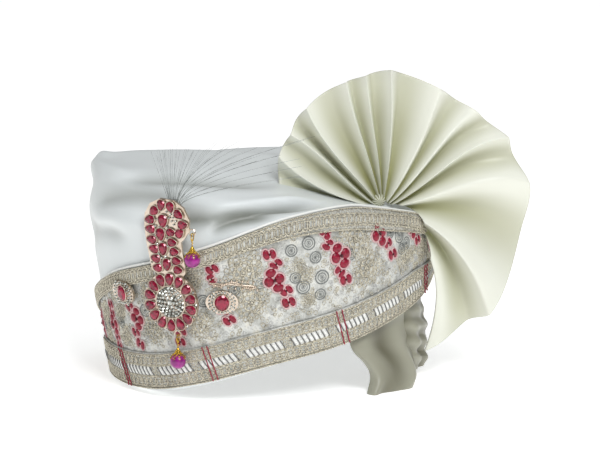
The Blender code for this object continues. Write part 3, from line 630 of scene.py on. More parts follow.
def dyed_bead(light, dark):
    """Dyed stone, ground round and tumbled: even colour with cloudy depth and a satin polish."""
    made, tree, shader = new_material("dyed_stone_bead", {
        "Roughness": 0.28, "IOR": 1.55, "Subsurface Weight": 0.15, "Subsurface Scale": 1.5 * MM,
        "Subsurface Radius": (1.0, 0.2, 0.8), "Coat Weight": 0.3, "Coat Roughness": 0.15,
    })
    place = node(tree, "ShaderNodeTexCoord").outputs["Object"]
    clouds = noise(tree, place, {"Scale": 1 / (3 * MM), "Detail": 3.0})
    colour = ramp(tree, clouds.outputs["Fac"], ((0.35, dark), (0.65, light)))
    bump = relief(tree, clouds.outputs["Fac"], 0.08, 0.2 * MM)
    tree.links.new(colour.outputs["Color"], shader.inputs["Base Color"])
    tree.links.new(bump.outputs["Normal"], shader.inputs["Normal"])
    return made


def nylon(light, dark):
    """Drawn nylon filament: clear, so that it shows only as fine bright and grey lines, which are painted
    into its colour as light and shade.
    """
    made, tree, shader = new_material("drawn_nylon_filament", {
        "Roughness": 0.25, "IOR": 1.53, "Transmission Weight": 0.1,
    })
    place = node(tree, "ShaderNodeTexCoord").outputs["Object"]
    # Painted light and shade: bands of the bright and the grey colour along each filament
    bands = noise(tree, place, {"Scale": 1 / (4 * MM), "Detail": 1.0})
    colour = ramp(tree, bands.outputs["Fac"], ((0.35, dark), (0.6, light)))
    tree.links.new(colour.outputs["Color"], shader.inputs["Base Color"])
    return made


def opal_board(name, colour):
    """Opal acrylic over a light box: even, pale and matt, and its own glow keeps shadows faint."""
    made, tree, shader = new_material(name, {
        "Roughness": 0.9, "Specular IOR Level": 0.2, "Emission Color": rgba((1.0, 1.0, 1.0)),
        "Emission Strength": 0.50,
    })
    place = node(tree, "ShaderNodeTexCoord").outputs["Object"]
    grain = noise(tree, place, {"Scale": 8.0, "Detail": 2.0})
    shade = darker(colour, 0.985)
    mixed = node(tree, "ShaderNodeMix", {"data_type": "RGBA", 6: rgba(colour), 7: rgba(shade)},
                 {0: grain.outputs["Fac"]})
    tree.links.new(mixed.outputs[2], shader.inputs["Base Color"])
    return made


# What a user can change


def colour_property(label, about, code):
    return FloatVectorProperty(name=label, description=about, subtype="COLOR", size=3, min=0.0, max=1.0,
                               default=linear(code))


def length_property(label, about, mm):
    return FloatProperty(name=label, description=about, unit="LENGTH", default=mm * MM, min=0.0)


class PagriClothSettings(bpy.types.PropertyGroup):
    crown: colour_property("Crown satin", "Satin of the wound crown in the light", "#E6EBEB")
    # The crown's and the fan's shade colours are painted shade, mixed into the satin where it lies deep in a
    # fold
    crown_painted_shade: colour_property("Crown shade", "Satin of the crown in its folds", "#7D8077")
    fan: colour_property("Fan satin", "Satin of the pleated fan in the light", "#EDEEE2")
    fan_painted_shade: colour_property("Fan shade", "Satin of the fan deep in its pleats", "#90905F")
    # The tails' satin colour is darkened all over as painted shade, and their shade colour is painted shade
    # in their folds
    tail: colour_property("Tail satin", "Satin of the short cloth ends in the light", "#A6A594")
    tail_painted_fold_shade: colour_property("Tail shade", "Satin of the cloth ends in their folds", "#5F5C48")
    pleat_depth: length_property("Pleat depth", "How far the fan's pleats stand out at its rim", 8.5)
    fold_depth: length_property("Fold depth", "How deep the crown's soft folds are", 7.0)


class PagriBandSettings(bpy.types.PropertyGroup):
    net: colour_property("Net", "Silver tissue net of the band", "#D6D7D2")
    net_grey: colour_property("Net shade", "Duller parts of the net", "#9A9A92")
    zari: colour_property("Zari", "Champagne metal thread", "#E6E0CC")
    # The thread's dark colour is painted shade between its turns
    zari_painted_shade: colour_property("Zari shade", "Champagne thread between its turns", "#81786A")
    grey: colour_property("Grey thread", "Grey silk thread of the spirals", "#8E928F")
    white: colour_property("White thread", "White silk of the satin bars", "#F4F4F0")
    red: colour_property("Red", "Crimson silk of the raised petals", "#9C0630")
    pink: colour_property("Pink cord", "Pale pink cord round the red petals", "#E3BDBD")
    thread_radius: length_property("Thread radius", "Half the width of the metal thread", 0.36)
    ring_spacing: length_property("Ring spacing", "From one ring of a border to the next", 4.3)
    seed: IntProperty(name="Seed", description="Which scatter of small stitches is drawn", default=7, min=0)


class PagriJewelSettings(bpy.types.PropertyGroup):
    # The red stone's dark colour and both crystal colours are painted glint and painted shade on the facets
    stone: colour_property("Red stone", "Foil-backed red glass in the light", "#9E0036")
    stone_painted_shade: colour_property("Red stone shade", "Foil-backed red glass in its dark facets", "#3A000E")
    crystal: colour_property("Crystal", "Clear cut glass in the light", "#F7F8F2")
    crystal_painted_shade: colour_property("Crystal shade", "Clear cut glass in its dark facets", "#5B5F50")
    setting: colour_property("Rose gold", "Pale rose-gold plate of the settings", "#EADFD2")
    setting_dark: colour_property("Rose gold shade", "Rose-gold plate where it is worn", "#BBA58E")
    gold: colour_property("Gold", "Gold plate of the bead caps", "#EEC85A")
    gold_dark: colour_property("Gold shade", "Gold plate where it is worn", "#A8812B")
    bead: colour_property("Bead", "Magenta stone beads", "#A8008C")
    bead_dark: colour_property("Bead shade", "Magenta stone beads in their clouds", "#780068")
    crystal_size: length_property("Crystal size", "Half the width of a small crystal", 0.85)


class PagriPlumeSettings(bpy.types.PropertyGroup):
    # Both filament colours are painted light and shade: clear nylon has no colour of its own
    light: colour_property("Filament", "Clear nylon in the light", "#B4B9B6")
    dark: colour_property("Filament shade", "Clear nylon against the light", "#7A7F7C")
    radius: length_property("Filament radius", "Half the width of one filament", 0.13)
    count: IntProperty(name="Filaments", description="How many filaments spread from the brooch",
                       default=44, min=8)


class PagriStageSettings(bpy.types.PropertyGroup):
    floor: colour_property("Floor", "Plain pale floor", "#FBFBFA")
    distance: length_property("Camera distance", "From the camera to the hat", 5000.0)
    azimuth: FloatProperty(name="Azimuth", description="How far round to the wearer's left the camera stands",
                           subtype="ANGLE", default=math.radians(30.0))
    elevation: FloatProperty(name="Elevation",
                             description="How far above the floor's level the camera looks from",
                             subtype="ANGLE", default=math.radians(12.0))


# The pieces


def dressed(piece, replaced=()):
    """Gives a finished piece its body, and hides the solids that it stands for."""
    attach(piece, "root")
    if replaced:
        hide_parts(*replaced)
    return piece


# Soft folds in the crown, each from one place to another on its surface: dents are below zero
CROWN_SAG = 17.0 * MM
SAG_FACING = 30.0
SAG_DEPTHS = np.array([-5.0, 75.0]) * MM
SAG_HEIGHTS = np.array([88.0, 136.0]) * MM
CROWN_FOLDS = (
    # start_angle, start_along, end_angle, end_along, depth, width_mm
    (-2.0, 0.465, 66.0, 0.640, -1.25, 7.0),
    (8.0, 0.500, 64.0, 0.665, 0.80, 6.0),
    (16.0, 0.470, 44.0, 0.560, -0.60, 5.0),
    (-44.0, 0.470, 14.0, 0.590, -0.55, 10.0),
    (-46.0, 0.430, 6.0, 0.470, 0.50, 9.0),
    (-62.0, 0.360, -8.0, 0.445, -0.55, 7.0),
    (-30.0, 0.600, 52.0, 0.770, -0.60, 9.0),
    (-72.0, 0.540, -14.0, 0.640, 0.45, 8.0),
    (-100.0, 0.300, -40.0, 0.560, -0.80, 8.0),
    (-104.0, 0.380, -52.0, 0.660, 0.60, 8.0),
    (-128.0, 0.200, -84.0, 0.520, -0.90, 8.0),
    (-150.0, 0.220, -95.0, 0.620, -0.90, 8.0),
    (-168.0, 0.180, -112.0, 0.560, 0.80, 8.0),
    (176.0, 0.120, 226.0, 0.560, -0.80, 8.0),
    (170.0, 0.240, 118.0, 0.660, -1.10, 9.0),
    (150.0, 0.200, 106.0, 0.580, -0.90, 8.0),
    (164.0, 0.320, 112.0, 0.720, 0.70, 8.0),
    (178.0, 0.400, 126.0, 0.760, -0.80, 10.0),
)


def crown_relief(angle, along):
    """How far the crown's folds lift it, in fold depths. Each fades out towards its two ends, and build_crown
    fades them out behind the band.
    """
    lift = np.zeros(np.broadcast(angle, along).shape)
    across_scale = math.radians(1.0) * (HALF_WIDTH + HALF_DEPTH) / 2
    along_scale = CROWN_HEIGHT + HALF_WIDTH
    for start_angle, start_along, end_angle, end_along, share, width in CROWN_FOLDS:
        run = np.array([(end_angle - start_angle) * across_scale, (end_along - start_along) * along_scale])
        length = np.linalg.norm(run)
        from_start = (angle - start_angle + 180.0) % 360.0 - 180.0
        gone_x = from_start * across_scale
        gone_y = (along - start_along) * along_scale
        forth = (gone_x * run[0] + gone_y * run[1]) / length**2
        bend = 6.0 * MM * np.sin(math.pi * np.clip(forth, 0.0, 1.0))
        side = (gone_x * run[1] - gone_y * run[0]) / length + bend
        fade = smooth_step(forth / 0.3) * smooth_step((1 - forth) / 0.3)
        lift = lift + share * np.exp(-np.abs(side / (width * MM)) ** 1.6) * fade
    return lift


def settled(points):
    """The crown's top after wear: its back slopes down, away from the picture's side."""
    local = points - SHIFT
    facing = math.radians(SAG_FACING)
    depth = local[..., 1] * math.cos(facing) - local[..., 0] * math.sin(facing)
    behind = smooth_step((depth - SAG_DEPTHS[0]) / np.ptp(SAG_DEPTHS))
    raised = smooth_step((local[..., 2] - SAG_HEIGHTS[0]) / np.ptp(SAG_HEIGHTS))
    low = np.array(points)
    low[..., 2] -= CROWN_SAG * behind * raised
    return low


def build_crown(cloth):
    """The wound satin crown, hollow for the head, with its rolled rim."""
    angles = np.arange(-180.0, 180.0, 1.5)
    low = along_at(angles, rim_height(angles))
    out_rows = np.linspace(0.0, 1.0, 96)[:, None]
    in_rows = np.linspace(0.0, 1.0, 26)[:, None]
    along_out = low + (0.985 - low) * out_rows
    along_in = low + (0.96 - low) * in_rows
    turns = np.broadcast_to(angles, along_out.shape)
    relief = crown_relief(turns, along_out)
    height = bare_skin(turns, along_out)[..., 2]
    banded = (turns > BAND_START - 4) & (turns < BAND_END + 4)
    free = np.where(banded, smooth_step((height - band_top(turns)) / (5 * MM)), 1.0)
    # The cloth is rolled under at the rim and drawn in a little where it meets the surface
    from_rim = (height - rim_height(turns)) / (4 * MM)
    roll = np.where(from_rim < 1, 1.6 * MM * (1 - np.clip(from_rim, 0, 1)) ** 2, 0.0)
    outer = over_skin(turns, along_out, relief * cloth.fold_depth * free - roll)
    outer[..., 2] = np.maximum(outer[..., 2], 0.0)
    inner = over_skin(np.broadcast_to(angles, along_in.shape), along_in, -CROWN_WALL)
    inner[0, :, 2] = outer[0, :, 2]
    outer, inner = settled(outer), settled(inner)
    columns = len(angles)
    pile = Pile()
    pile.add(outer, grid_quads(len(out_rows), columns, True))
    pile.add(inner, grid_quads(len(in_rows), columns, True)[:, ::-1])
    base_in = len(out_rows) * columns
    a = np.arange(columns)
    b = (a + 1) % columns
    pile.add_faces(np.stack([b, a, base_in + a, base_in + b], -1), 0)
    last_out = base_in - columns
    last_in = base_in + (len(in_rows) - 1) * columns
    tops = np.stack([outer[-1].mean(axis=0), inner[-1].mean(axis=0)])
    middle = pile.count
    pile.add(tops, np.zeros((0, 3)))
    pile.add_faces(np.stack([last_out + a, last_out + b, np.full(columns, middle)], -1), 0)
    pile.add_faces(np.stack([last_in + b, last_in + a, np.full(columns, middle + 1)], -1), 0)
    look = satin("polyester_satin_crown", cloth.crown, cloth.crown_painted_shade, 0.40, 0.8)
    made = pile.make("satin_crown", [look])
    # Painted shade: darker in the crown's dents, and on its inner wall and the middle of its inner top
    deep = np.clip(-relief * free, 0.0, 1.0) * 0.9
    shade = np.concatenate([deep.reshape(-1), np.full(inner.shape[0] * columns, 0.25), [0.0, 0.25]])
    tint(made, shade)
    dressed(made, ["crown_cloth"])
    # Wound lengths of satin that cover the dome and sides once
    return made


def build_band(band):
    """The band's net ground, rounded off along both edges."""
    angles = np.linspace(BAND_START, BAND_END, 260)
    rows = 36
    shares = np.linspace(0.0, 1.0, rows)[:, None]
    turns = np.broadcast_to(angles, (rows, len(angles)))
    edge = np.minimum(shares, 1 - shares) * 60 * MM
    rounded = BAND_THICKNESS * 0.5 * (1 - smooth_step(edge / (2.5 * MM)))
    bearing = np.radians(turns)
    ruffle = 0.25 * MM * np.sin(bearing * 57 + shares * 9) * np.sin(bearing * 23 + shares * 31)
    face = on_band(turns, shares, ruffle - rounded)
    back = on_band(turns, shares, rounded - BAND_THICKNESS)
    pile = Pile()
    add_cloth(pile, face, back)
    look = silver_tissue("silver_tissue_net", band.net, band.net_grey, band.zari)
    made = pile.make("band_net", [look])
    dressed(made, ["brocade_band"])
    # A strip cut 0.42 m long and 0.10 m wide, tapering to both ends
    return made


def pad_shape():
    """A padded bar of satin stitch, 2 wide and 2 long, one high in its middle."""
    rows, columns = 7, 9
    v = np.linspace(-1, 1, rows)[:, None]
    u = np.linspace(-1, 1, columns)[None, :]
    end = np.sqrt(np.clip(1 - np.abs(v) ** 4, 0, 1))
    points = np.stack(same_shape(u * (0.6 + 0.4 * end), v, np.sqrt(np.clip(1 - u**2, 0, 1)) * end), -1)
    return points.reshape(-1, 3), [grid_quads(rows, columns)]


def border_share(angle, place, upper):
    """The band's share at a place across one of its borders, which runs from 0 low to 1 high."""
    height = band_top(angle) - band_bottom(angle)
    upper_width, lower_width = border_widths(angle)
    return (1 - upper_width * (1 - place) / height) if upper else lower_width * place / height


def border_places(place, spacing, upper):
    angles = evenly_along(0.97 if upper else 0.15, spacing)
    return angles, border_share(angles, place, upper)


BORDER_FACE = BORDER_GAP + BORDER_THICKNESS


def add_twist(pile, place, upper, radius, off, look=0):
    """Two threads twisted into a cord along a border."""
    line = border_share(np.linspace(BAND_START, BAND_END, 900), place, upper)
    angles = np.linspace(BAND_START, BAND_END, 900)
    middle = on_band(angles, line, off)
    frames = band_frames(angles, line)
    turn = np.linspace(0, 150 * 2 * math.pi, 900)[:, None]
    for side in (0.0, math.pi):
        wind = frames[:, :, 1] * np.cos(turn + side) + frames[:, :, 2] * np.sin(turn + side)
        add_tube(pile, middle + wind * radius * 0.8, radius, 4, look)


LADDER_MIDDLE = 0.512
LADDER_SLANT = 22.0


def build_border_cloth(upper):
    """The lace's own ground strip, over the band."""
    angles = np.linspace(BAND_START, BAND_END, 260)
    rows = 8 if upper else 14
    places = np.linspace(0.0, 1.0, rows)[:, None]
    shares = border_share(angles[None, :], places, upper)
    turns = np.broadcast_to(angles, shares.shape)
    rounded = 0.35 * BORDER_THICKNESS * np.abs(2 * places - 1) ** 6
    pile = Pile()
    face = on_band(turns, shares, BORDER_FACE - rounded)
    add_cloth(pile, face, on_band(turns, shares, BORDER_GAP + rounded))
    return pile


def build_upper_border(band):
    """The narrow lace: overlapping shells of metal thread between two twisted cords."""
    look = silver_tissue("ivory_tissue_upper", band.net, band.net_grey, band.zari)
    ground = build_border_cloth(True).make("upper_lace", [look])
    dressed(ground, ["upper_border"])
    zari = thread("champagne_zari_thread", band.zari, band.zari_painted_shade, 0.42, 0.45, 0.9)
    silk = satin("white_satin_piping", (0.90, 0.91, 0.88), (0.70, 0.70, 0.62), 0.42, 0.8)
    pile = Pile()
    ring = ring_shape(0.17, 14, 4)
    radius = band.thread_radius
    angles, shares = border_places(0.50, band.ring_spacing * 0.86, True)
    frames = band_frames(angles, shares)
    lean = turned_frames(frames, -24.0)
    half = border_widths(angles)[0] / 2
    sizes = np.stack([half * 0.52, half * 0.84, np.full(len(angles), 3.2 * MM)], -1)
    pile.stamp(ring, on_band(angles, shares, BORDER_FACE + 0.6 * radius), lean, sizes)
    sizes = np.stack([half * 0.26, half * 0.52, np.full(len(angles), 2.4 * MM)], -1)
    pile.stamp(ring, on_band(angles, shares, BORDER_FACE + 1.2 * radius), lean, sizes)
    between = (angles[1:] + angles[:-1]) / 2
    for place in (0.16, 0.84):
        at = border_share(between, place, True)
        places = on_band(between, at, BORDER_FACE + 0.5 * radius)
        pile.stamp(ring, places, band_frames(between, at), [1.25 * MM])
    for place in (0.02, 0.97):
        add_twist(pile, place, True, radius, BORDER_FACE)
    made = dressed(pile.make("upper_lace_threads", [zari]))
    piping = Pile()
    fine = np.linspace(BAND_START, BAND_END, 400)
    add_tube(piping, on_band(fine, np.full(400, 1.012), -0.2 * MM), 1.0 * MM, 8)
    edge = piping.make("band_piping", [silk])
    dressed(edge)
    return made


def add_ring_rows(pile, band):
    """Two rows of slanted rings along the broad lace, with small grains between them."""
    ring = ring_shape(0.15, 14, 4)
    small = ring_shape(0.26, 10, 4)
    for place, offset in ((0.225, 0.0), (0.80, 0.5)):
        angles = border_places(place, band.ring_spacing, False)[0]
        angles = np.clip(angles + (angles[1] - angles[0]) * offset, BAND_START, BAND_END)
        shares = border_share(angles, place, False)
        frames = turned_frames(band_frames(angles, shares), 18.0 if place < 0.5 else -18.0)
        width = border_widths(angles)[1]
        sizes = np.stack([width * 0.118, width * 0.128, np.full(len(angles), 3.0 * MM)], -1)
        low, high = 0.6 * band.thread_radius, 1.1 * band.thread_radius
        pile.stamp(ring, on_band(angles, shares, BORDER_FACE + low), frames, sizes)
        pile.stamp(small, on_band(angles, shares, BORDER_FACE + high), frames, width[:, None] * 0.055)
        between = (angles[1:] + angles[:-1]) / 2
        for side in (-0.085, 0.085):
            at = border_share(between, place + side, False)
            grains = on_band(between, at, BORDER_FACE)
            pile.stamp(dome_shape(8, 3), grains, band_frames(between, at), [0.75 * MM])


def add_ladder(pile, radius):
    """Groups of seven white satin bars with dark stitches beside them, and small rings between groups."""
    angles, shares = border_places(LADDER_MIDDLE, 3.35 * MM, False)
    bar = np.arange(len(angles)) % 9 < 7
    frames = turned_frames(band_frames(angles, shares), LADDER_SLANT)
    face = on_band(angles, shares, BORDER_FACE - 0.1 * MM)
    many = np.ones(len(angles))
    sizes = np.stack([1.5 * MM * many, border_widths(angles)[1] * 0.145, 0.95 * MM * many], -1)
    pile.stamp(pad_shape(), face[bar], frames[bar], sizes[bar], 0)
    gaps = ((angles[1:] + angles[:-1]) / 2)[bar[1:] | bar[:-1]]
    at = border_share(gaps, LADDER_MIDDLE, False)
    frames = turned_frames(band_frames(gaps, at), LADDER_SLANT)
    many = np.ones(len(gaps))
    sizes = np.stack([0.36 * MM * many, border_widths(gaps)[1] * 0.155, 0.95 * MM * many], -1)
    pile.stamp(pad_shape(), on_band(gaps, at, BORDER_FACE + 0.05 * MM), frames, sizes, 1)
    eyes = angles[~bar]
    sizes = border_widths(eyes)[1][:, None] * 0.052
    for place in (LADDER_MIDDLE - 0.097, LADDER_MIDDLE, LADDER_MIDDLE + 0.097):
        at = border_share(eyes, place, False)
        places = on_band(eyes, at, BORDER_FACE + 0.5 * radius)
        pile.stamp(ring_shape(0.26, 10, 4), places, band_frames(eyes, at), sizes, 2)


def add_red_stitches(pile):
    """Pairs of red thread that run across the broad lace at a slant."""
    path = np.linspace(0.02, 1.02, 24)
    wave = 0.3 * MM * np.sin(path * 40)
    for angle in (-62.0, -26.0, 14.5, 60.0, 99.0):
        for shift in (-0.9, 0.9):
            lean = angle + shift + 3.0 * (1 - path)
            at = border_share(lean, path, False)
            add_tube(pile, on_band(lean, at, BORDER_FACE + 1.0 * MM + wave), 0.42 * MM, 5, 3)


def build_lower_border(band):
    """The broad lace: two rows of rings with a ladder of satin bars between them."""
    look = silver_tissue("ivory_tissue_lower", band.net, band.net_grey, band.zari)
    ground = build_border_cloth(False).make("lower_lace", [look])
    dressed(ground, ["lower_border"])
    zari = thread("champagne_zari_braid", band.zari, band.zari_painted_shade, 0.42, 0.45, 0.9)
    white = thread("white_rayon_satin_stitch", band.white, (0.62, 0.62, 0.58), 0.38, 0.0, 1.6)
    grey = thread("dark_silk_stitch", (0.22, 0.22, 0.21), (0.10, 0.10, 0.10), 0.5, 0.1, 0.8)
    red = thread("red_silk_stitch", band.red, (0.30, 0.05, 0.08), 0.5, 0.0, 0.8)
    rows = Pile()
    add_ring_rows(rows, band)
    for place in (0.03, 0.09, 0.37, 0.655, 0.955):
        add_twist(rows, place, False, band.thread_radius, BORDER_FACE + 0.1 * MM)
    dressed(rows.make("lower_lace_threads", [zari]))
    ladder = Pile()
    add_ladder(ladder, band.thread_radius)
    add_red_stitches(ladder)
    return dressed(ladder.make("ladder_stitches", [white, grey, zari, red]))


# Raised red petals on the band: each column runs down it, and the sizes are in millimetres
RED_PETALS = (
    # angle, share, size, turn, lobes
    (-30.5, 0.74, 6.0, 10.0, 2), (-30.2, 0.66, 5.6, -8.0, 2), (-30.0, 0.55, 9.0, 5.0, 4),
    (-29.0, 0.43, 5.6, 20.0, 2), (-28.5, 0.35, 5.8, -12.0, 2),
    (-18.5, 0.79, 6.0, -30.0, 2), (-17.0, 0.69, 6.2, 25.0, 2), (-13.5, 0.58, 9.4, -15.0, 4),
    (-15.5, 0.47, 6.0, 10.0, 2), (-14.0, 0.37, 6.4, -20.0, 2),
    (2.5, 0.86, 6.0, 0.0, 2), (4.5, 0.52, 6.0, -30.0, 2), (5.4, 0.43, 6.4, 12.0, 2), (5.0, 0.35, 5.6, 0.0, 2),
    (19.5, 0.84, 6.4, 20.0, 2), (19.0, 0.77, 5.6, -70.0, 2), (22.0, 0.52, 7.0, 35.0, 3),
    (24.0, 0.42, 6.4, 20.0, 2),
    (38.5, 0.81, 6.8, 5.0, 2), (40.5, 0.73, 6.4, 40.0, 2), (39.8, 0.62, 10.6, 8.0, 4),
    (43.5, 0.52, 6.6, 30.0, 2), (44.2, 0.43, 7.0, 15.0, 2),
    (56.5, 0.88, 6.8, 12.0, 3), (57.0, 0.80, 6.2, 60.0, 2), (61.0, 0.705, 11.0, 20.0, 4),
    (60.8, 0.59, 6.6, -40.0, 2), (62.8, 0.52, 7.0, 20.0, 2),
    (71.5, 0.97, 5.0, 30.0, 2), (74.5, 0.92, 6.4, 35.0, 2), (75.4, 0.84, 10.6, 25.0, 4),
    (79.0, 0.76, 6.4, 30.0, 2), (81.0, 0.65, 7.0, 25.0, 2),
    (86.0, 0.96, 5.0, 20.0, 2), (88.5, 0.91, 6.0, 30.0, 2), (91.5, 0.85, 8.0, 20.0, 3),
    (94.5, 0.74, 6.2, 30.0, 2),
    (103.0, 0.86, 6.0, 0.0, 2), (104.5, 0.74, 8.4, 10.0, 4), (106.0, 0.62, 5.8, 20.0, 2),
    (-47.0, 0.70, 6.0, 10.0, 2), (-46.5, 0.58, 9.0, 0.0, 4), (-46.0, 0.46, 6.0, -10.0, 2),
    (-62.0, 0.68, 5.6, 0.0, 2), (-61.5, 0.56, 7.6, 0.0, 4), (-61.0, 0.46, 5.0, 10.0, 2),
    (-76.0, 0.62, 6.0, 0.0, 4), (-88.0, 0.60, 4.6, 0.0, 2),
)
LOBES = {
    # How many lobes: across, up, half width, half height of each, as shares of the flower's size
    2: ((-0.24, 0.06, 0.27, 0.42), (0.26, -0.06, 0.25, 0.40)),
    3: ((-0.26, 0.16, 0.26, 0.32), (0.26, 0.12, 0.25, 0.32), (0.02, -0.32, 0.28, 0.28)),
    4: ((-0.05, 0.42, 0.27, 0.24), (-0.28, 0.02, 0.25, 0.28), (0.26, -0.02, 0.25, 0.28),
        (0.05, -0.44, 0.27, 0.24)),
}


def build_red_petals(band):
    """Padded red petals, each outlined by a pale pink cord."""
    red = thread("crimson_rayon_stitch", band.red, darker(band.red, 0.42), 0.34, 0.0, 1.3)
    pink = thread("pink_outline_cord", band.pink, darker(band.pink, 0.6), 0.5, 0.0, 0.8)
    dark = thread("dark_red_centre", darker(band.red, 0.25), darker(band.red, 0.1), 0.5, 0.0, 0.8)
    dome = dome_shape(16, 5)
    ring = ring_shape(0.17, 20, 5)
    pile = Pile()
    table = np.array(RED_PETALS)
    frames = turned_frames(band_frames(table[:, 0], table[:, 1]), table[:, 3])
    middles = on_band(table[:, 0], table[:, 1], 0.0)
    for row, frame_at, middle in zip(table, frames, middles, strict=True):
        size = row[2] * 1.2 * MM
        for across, up, wide, high in LOBES[int(row[4])]:
            place = middle + frame_at @ np.array([across, up, 0.0]) * size
            half = np.array([[wide * size, high * size, 0.16 * size]])
            pile.stamp(dome, [place], frame_at[None], half, 0)
            edge = half * [[1.16, 1.14, 0.0]] + [[0, 0, 0.3 * size]]
            pile.stamp(ring, [place + frame_at[:, 2] * 0.25 * MM], frame_at[None], edge, 1)
        heart = [[0.07 * size, 0.09 * size, 0.09 * size]]
        pile.stamp(dome, [middle + frame_at[:, 2] * 0.12 * size], frame_at[None], heart, 2)
    return dressed(pile.make("red_petals", [red, pink, dark]))


# Flowers of zari between the red columns: places on the band, with sizes in millimetres
ZARI_FLOWERS = (
    # angle, share, size
    (-38.5, 0.66, 17.0), (-37.5, 0.46, 13.0), (-23.5, 0.66, 13.0), (-22.0, 0.44, 14.0),
    (-5.0, 0.76, 20.0), (-6.0, 0.50, 19.0), (12.5, 0.80, 15.0), (13.5, 0.44, 17.0),
    (30.0, 0.74, 24.0), (32.0, 0.50, 22.0), (50.0, 0.60, 11.0), (50.5, 0.42, 10.0), (47.5, 0.68, 10.0),
    (66.5, 0.82, 23.0), (70.5, 0.58, 22.0), (87.0, 0.60, 13.0), (98.5, 0.62, 15.0), (110.5, 0.62, 11.0),
    (-54.5, 0.62, 15.0), (-69.0, 0.60, 11.0), (-82.0, 0.62, 7.0),
)
# The rings of loops in each flower, with each loop's size as a share of the flower's half width
FLOWER_RINGS = (
    # reach, count, part
    (0.0, 1, 0.17), (0.36, 7, 0.17), (0.68, 12, 0.16), (0.96, 17, 0.14),
)
FILLING_COUNT = 2300
GREY_SPIRALS = (
    # angle, share, size
    (45.5, 0.80, 7.6), (51.0, 0.83, 8.4), (55.0, 0.57, 9.0), (49.0, 0.52, 8.6), (53.0, 0.72, 7.4),
    (46.5, 0.60, 7.0), (54.5, 0.44, 7.0), (82.0, 0.90, 7.6), (84.5, 0.81, 9.0), (88.0, 0.73, 8.0),
    (80.5, 0.84, 6.4), (85.5, 0.68, 7.0),
    (9.0, 0.66, 7.0), (15.5, 0.62, 8.0), (-9.0, 0.64, 8.0), (-2.0, 0.60, 7.0), (-24.0, 0.56, 7.0),
    (26.5, 0.63, 7.0), (35.5, 0.62, 7.0), (64.5, 0.70, 7.0), (100.0, 0.82, 7.0), (108.0, 0.74, 6.0),
    (-35.0, 0.56, 7.0), (-42.5, 0.56, 7.0), (-52.0, 0.50, 7.0), (-57.0, 0.58, 6.0), (-66.0, 0.52, 6.0),
)


def build_zari_flowers(band):
    """Flowers of metal thread: rings of small loops round a larger one."""
    zari = thread("champagne_zari_flowers", band.zari, band.zari_painted_shade, 0.40, 0.5, 0.9)
    ring = ring_shape(0.22, 10, 4)
    degrees_each = math.degrees(1.0 / HALF_DEPTH)
    pile = Pile()
    for angle, share, size in ZARI_FLOWERS:
        middle = on_band(angle, share, 0.0).reshape(1, 3)
        turned = band_frames(np.array([angle]), np.array([share]))
        half = size * MM / 2
        height = float(band_top(angle) - band_bottom(angle))
        for reach, count, part in FLOWER_RINGS:
            turns = 2 * math.pi * (np.arange(count) + 0.5 * (count % 2)) / count
            sway = 1 + 0.10 * np.sin(3 * turns + angle)
            at_angle = angle + np.cos(turns) * reach * half * sway * degrees_each
            at_share = share + np.sin(turns) * reach * half * sway / height
            places = on_band(at_angle, at_share, band.thread_radius * (1.4 - reach))
            pile.stamp(ring, places, band_frames(at_angle, at_share), [part * half])
        pile.stamp(ring_shape(0.10, 20, 4), middle, turned, [[0.52 * half, 0.52 * half, 0.6 * half]])
        pile.stamp(dome_shape(8, 3), middle, turned, [0.10 * half])
    return dressed(pile.make("zari_flowers", [zari]))


def build_grey_spirals(band):
    """Grey silk motifs: three cords in rings, one inside the other, round a small knot."""
    grey = thread("grey_silk_spirals", band.grey, darker(band.grey, 0.5), 0.45, 0.2, 0.8)
    table = np.array(GREY_SPIRALS)
    frames = band_frames(table[:, 0], table[:, 1])
    middles = on_band(table[:, 0], table[:, 1], band.thread_radius * 0.8)
    pile = Pile()
    for share in (1.0, 0.62, 0.30):
        sizes = table[:, 2:3] * MM / 2 * share * np.ones((1, 3))
        sizes[:, 2] = 2.4 * MM
        pile.stamp(ring_shape(0.085, 20, 4), middles, frames, sizes)
    pile.stamp(dome_shape(8, 3), middles, frames, [0.6 * MM])
    return dressed(pile.make("grey_spirals", [grey]))


def build_zari_filling(band):
    """Small stitches of gold and silver thread, scattered where the red and grey motifs leave room."""
    warm = thread("champagne_zari_filling", band.zari, band.zari_painted_shade, 0.42, 0.45, 0.9)
    pale = thread("silver_zari_filling", (0.78, 0.78, 0.76), (0.36, 0.36, 0.35), 0.4, 0.5, 0.8)
    chance = np.random.default_rng(band.seed)
    angle = chance.uniform(BAND_START + 3, BAND_END - 3, FILLING_COUNT)
    low = border_share(angle, 1.04, False)
    high = border_share(angle, -0.04, True)
    share = low + (high - low) * chance.uniform(0.0, 1.0, FILLING_COUNT)
    reds = table_distance(angle, share, np.array(RED_PETALS)[:, :3], 0.62)
    greys = table_distance(angle, share, np.array(GREY_SPIRALS), 0.75)
    keep = (reds > 1) & (greys > 1)
    angle, share = angle[keep], share[keep]
    size = chance.uniform(0.75, 1.55, len(angle)) * MM
    frames = turned_frames(band_frames(angle, share), chance.uniform(0, 360, len(angle)))
    sizes = np.stack([size, size * chance.uniform(0.5, 1.0, len(angle)), size], -1)
    silver = chance.uniform(0, 1, len(angle)) < 0.35
    ring = ring_shape(0.22, 10, 4)
    pile = Pile()
    for kind, lift, slot in ((~silver, 0.3, 0), (silver, 0.2, 1)):
        places = on_band(angle[kind], share[kind], band.thread_radius * lift)
        pile.stamp(ring, places, frames[kind], sizes[kind], slot)
    return dressed(pile.make("zari_filling", [warm, pale]))


def table_distance(angle, share, table, reach):
    """How far places lie from the nearest row of a table, in sizes of that row."""
    across = (angle[:, None] - table[None, :, 0]) * math.radians(1.0) * HALF_DEPTH
    height = (band_top(angle) - band_bottom(angle))[:, None]
    up = (share[:, None] - table[None, :, 1]) * height
    return (np.hypot(across, up) / (table[None, :, 2] * MM * reach)).min(axis=1)


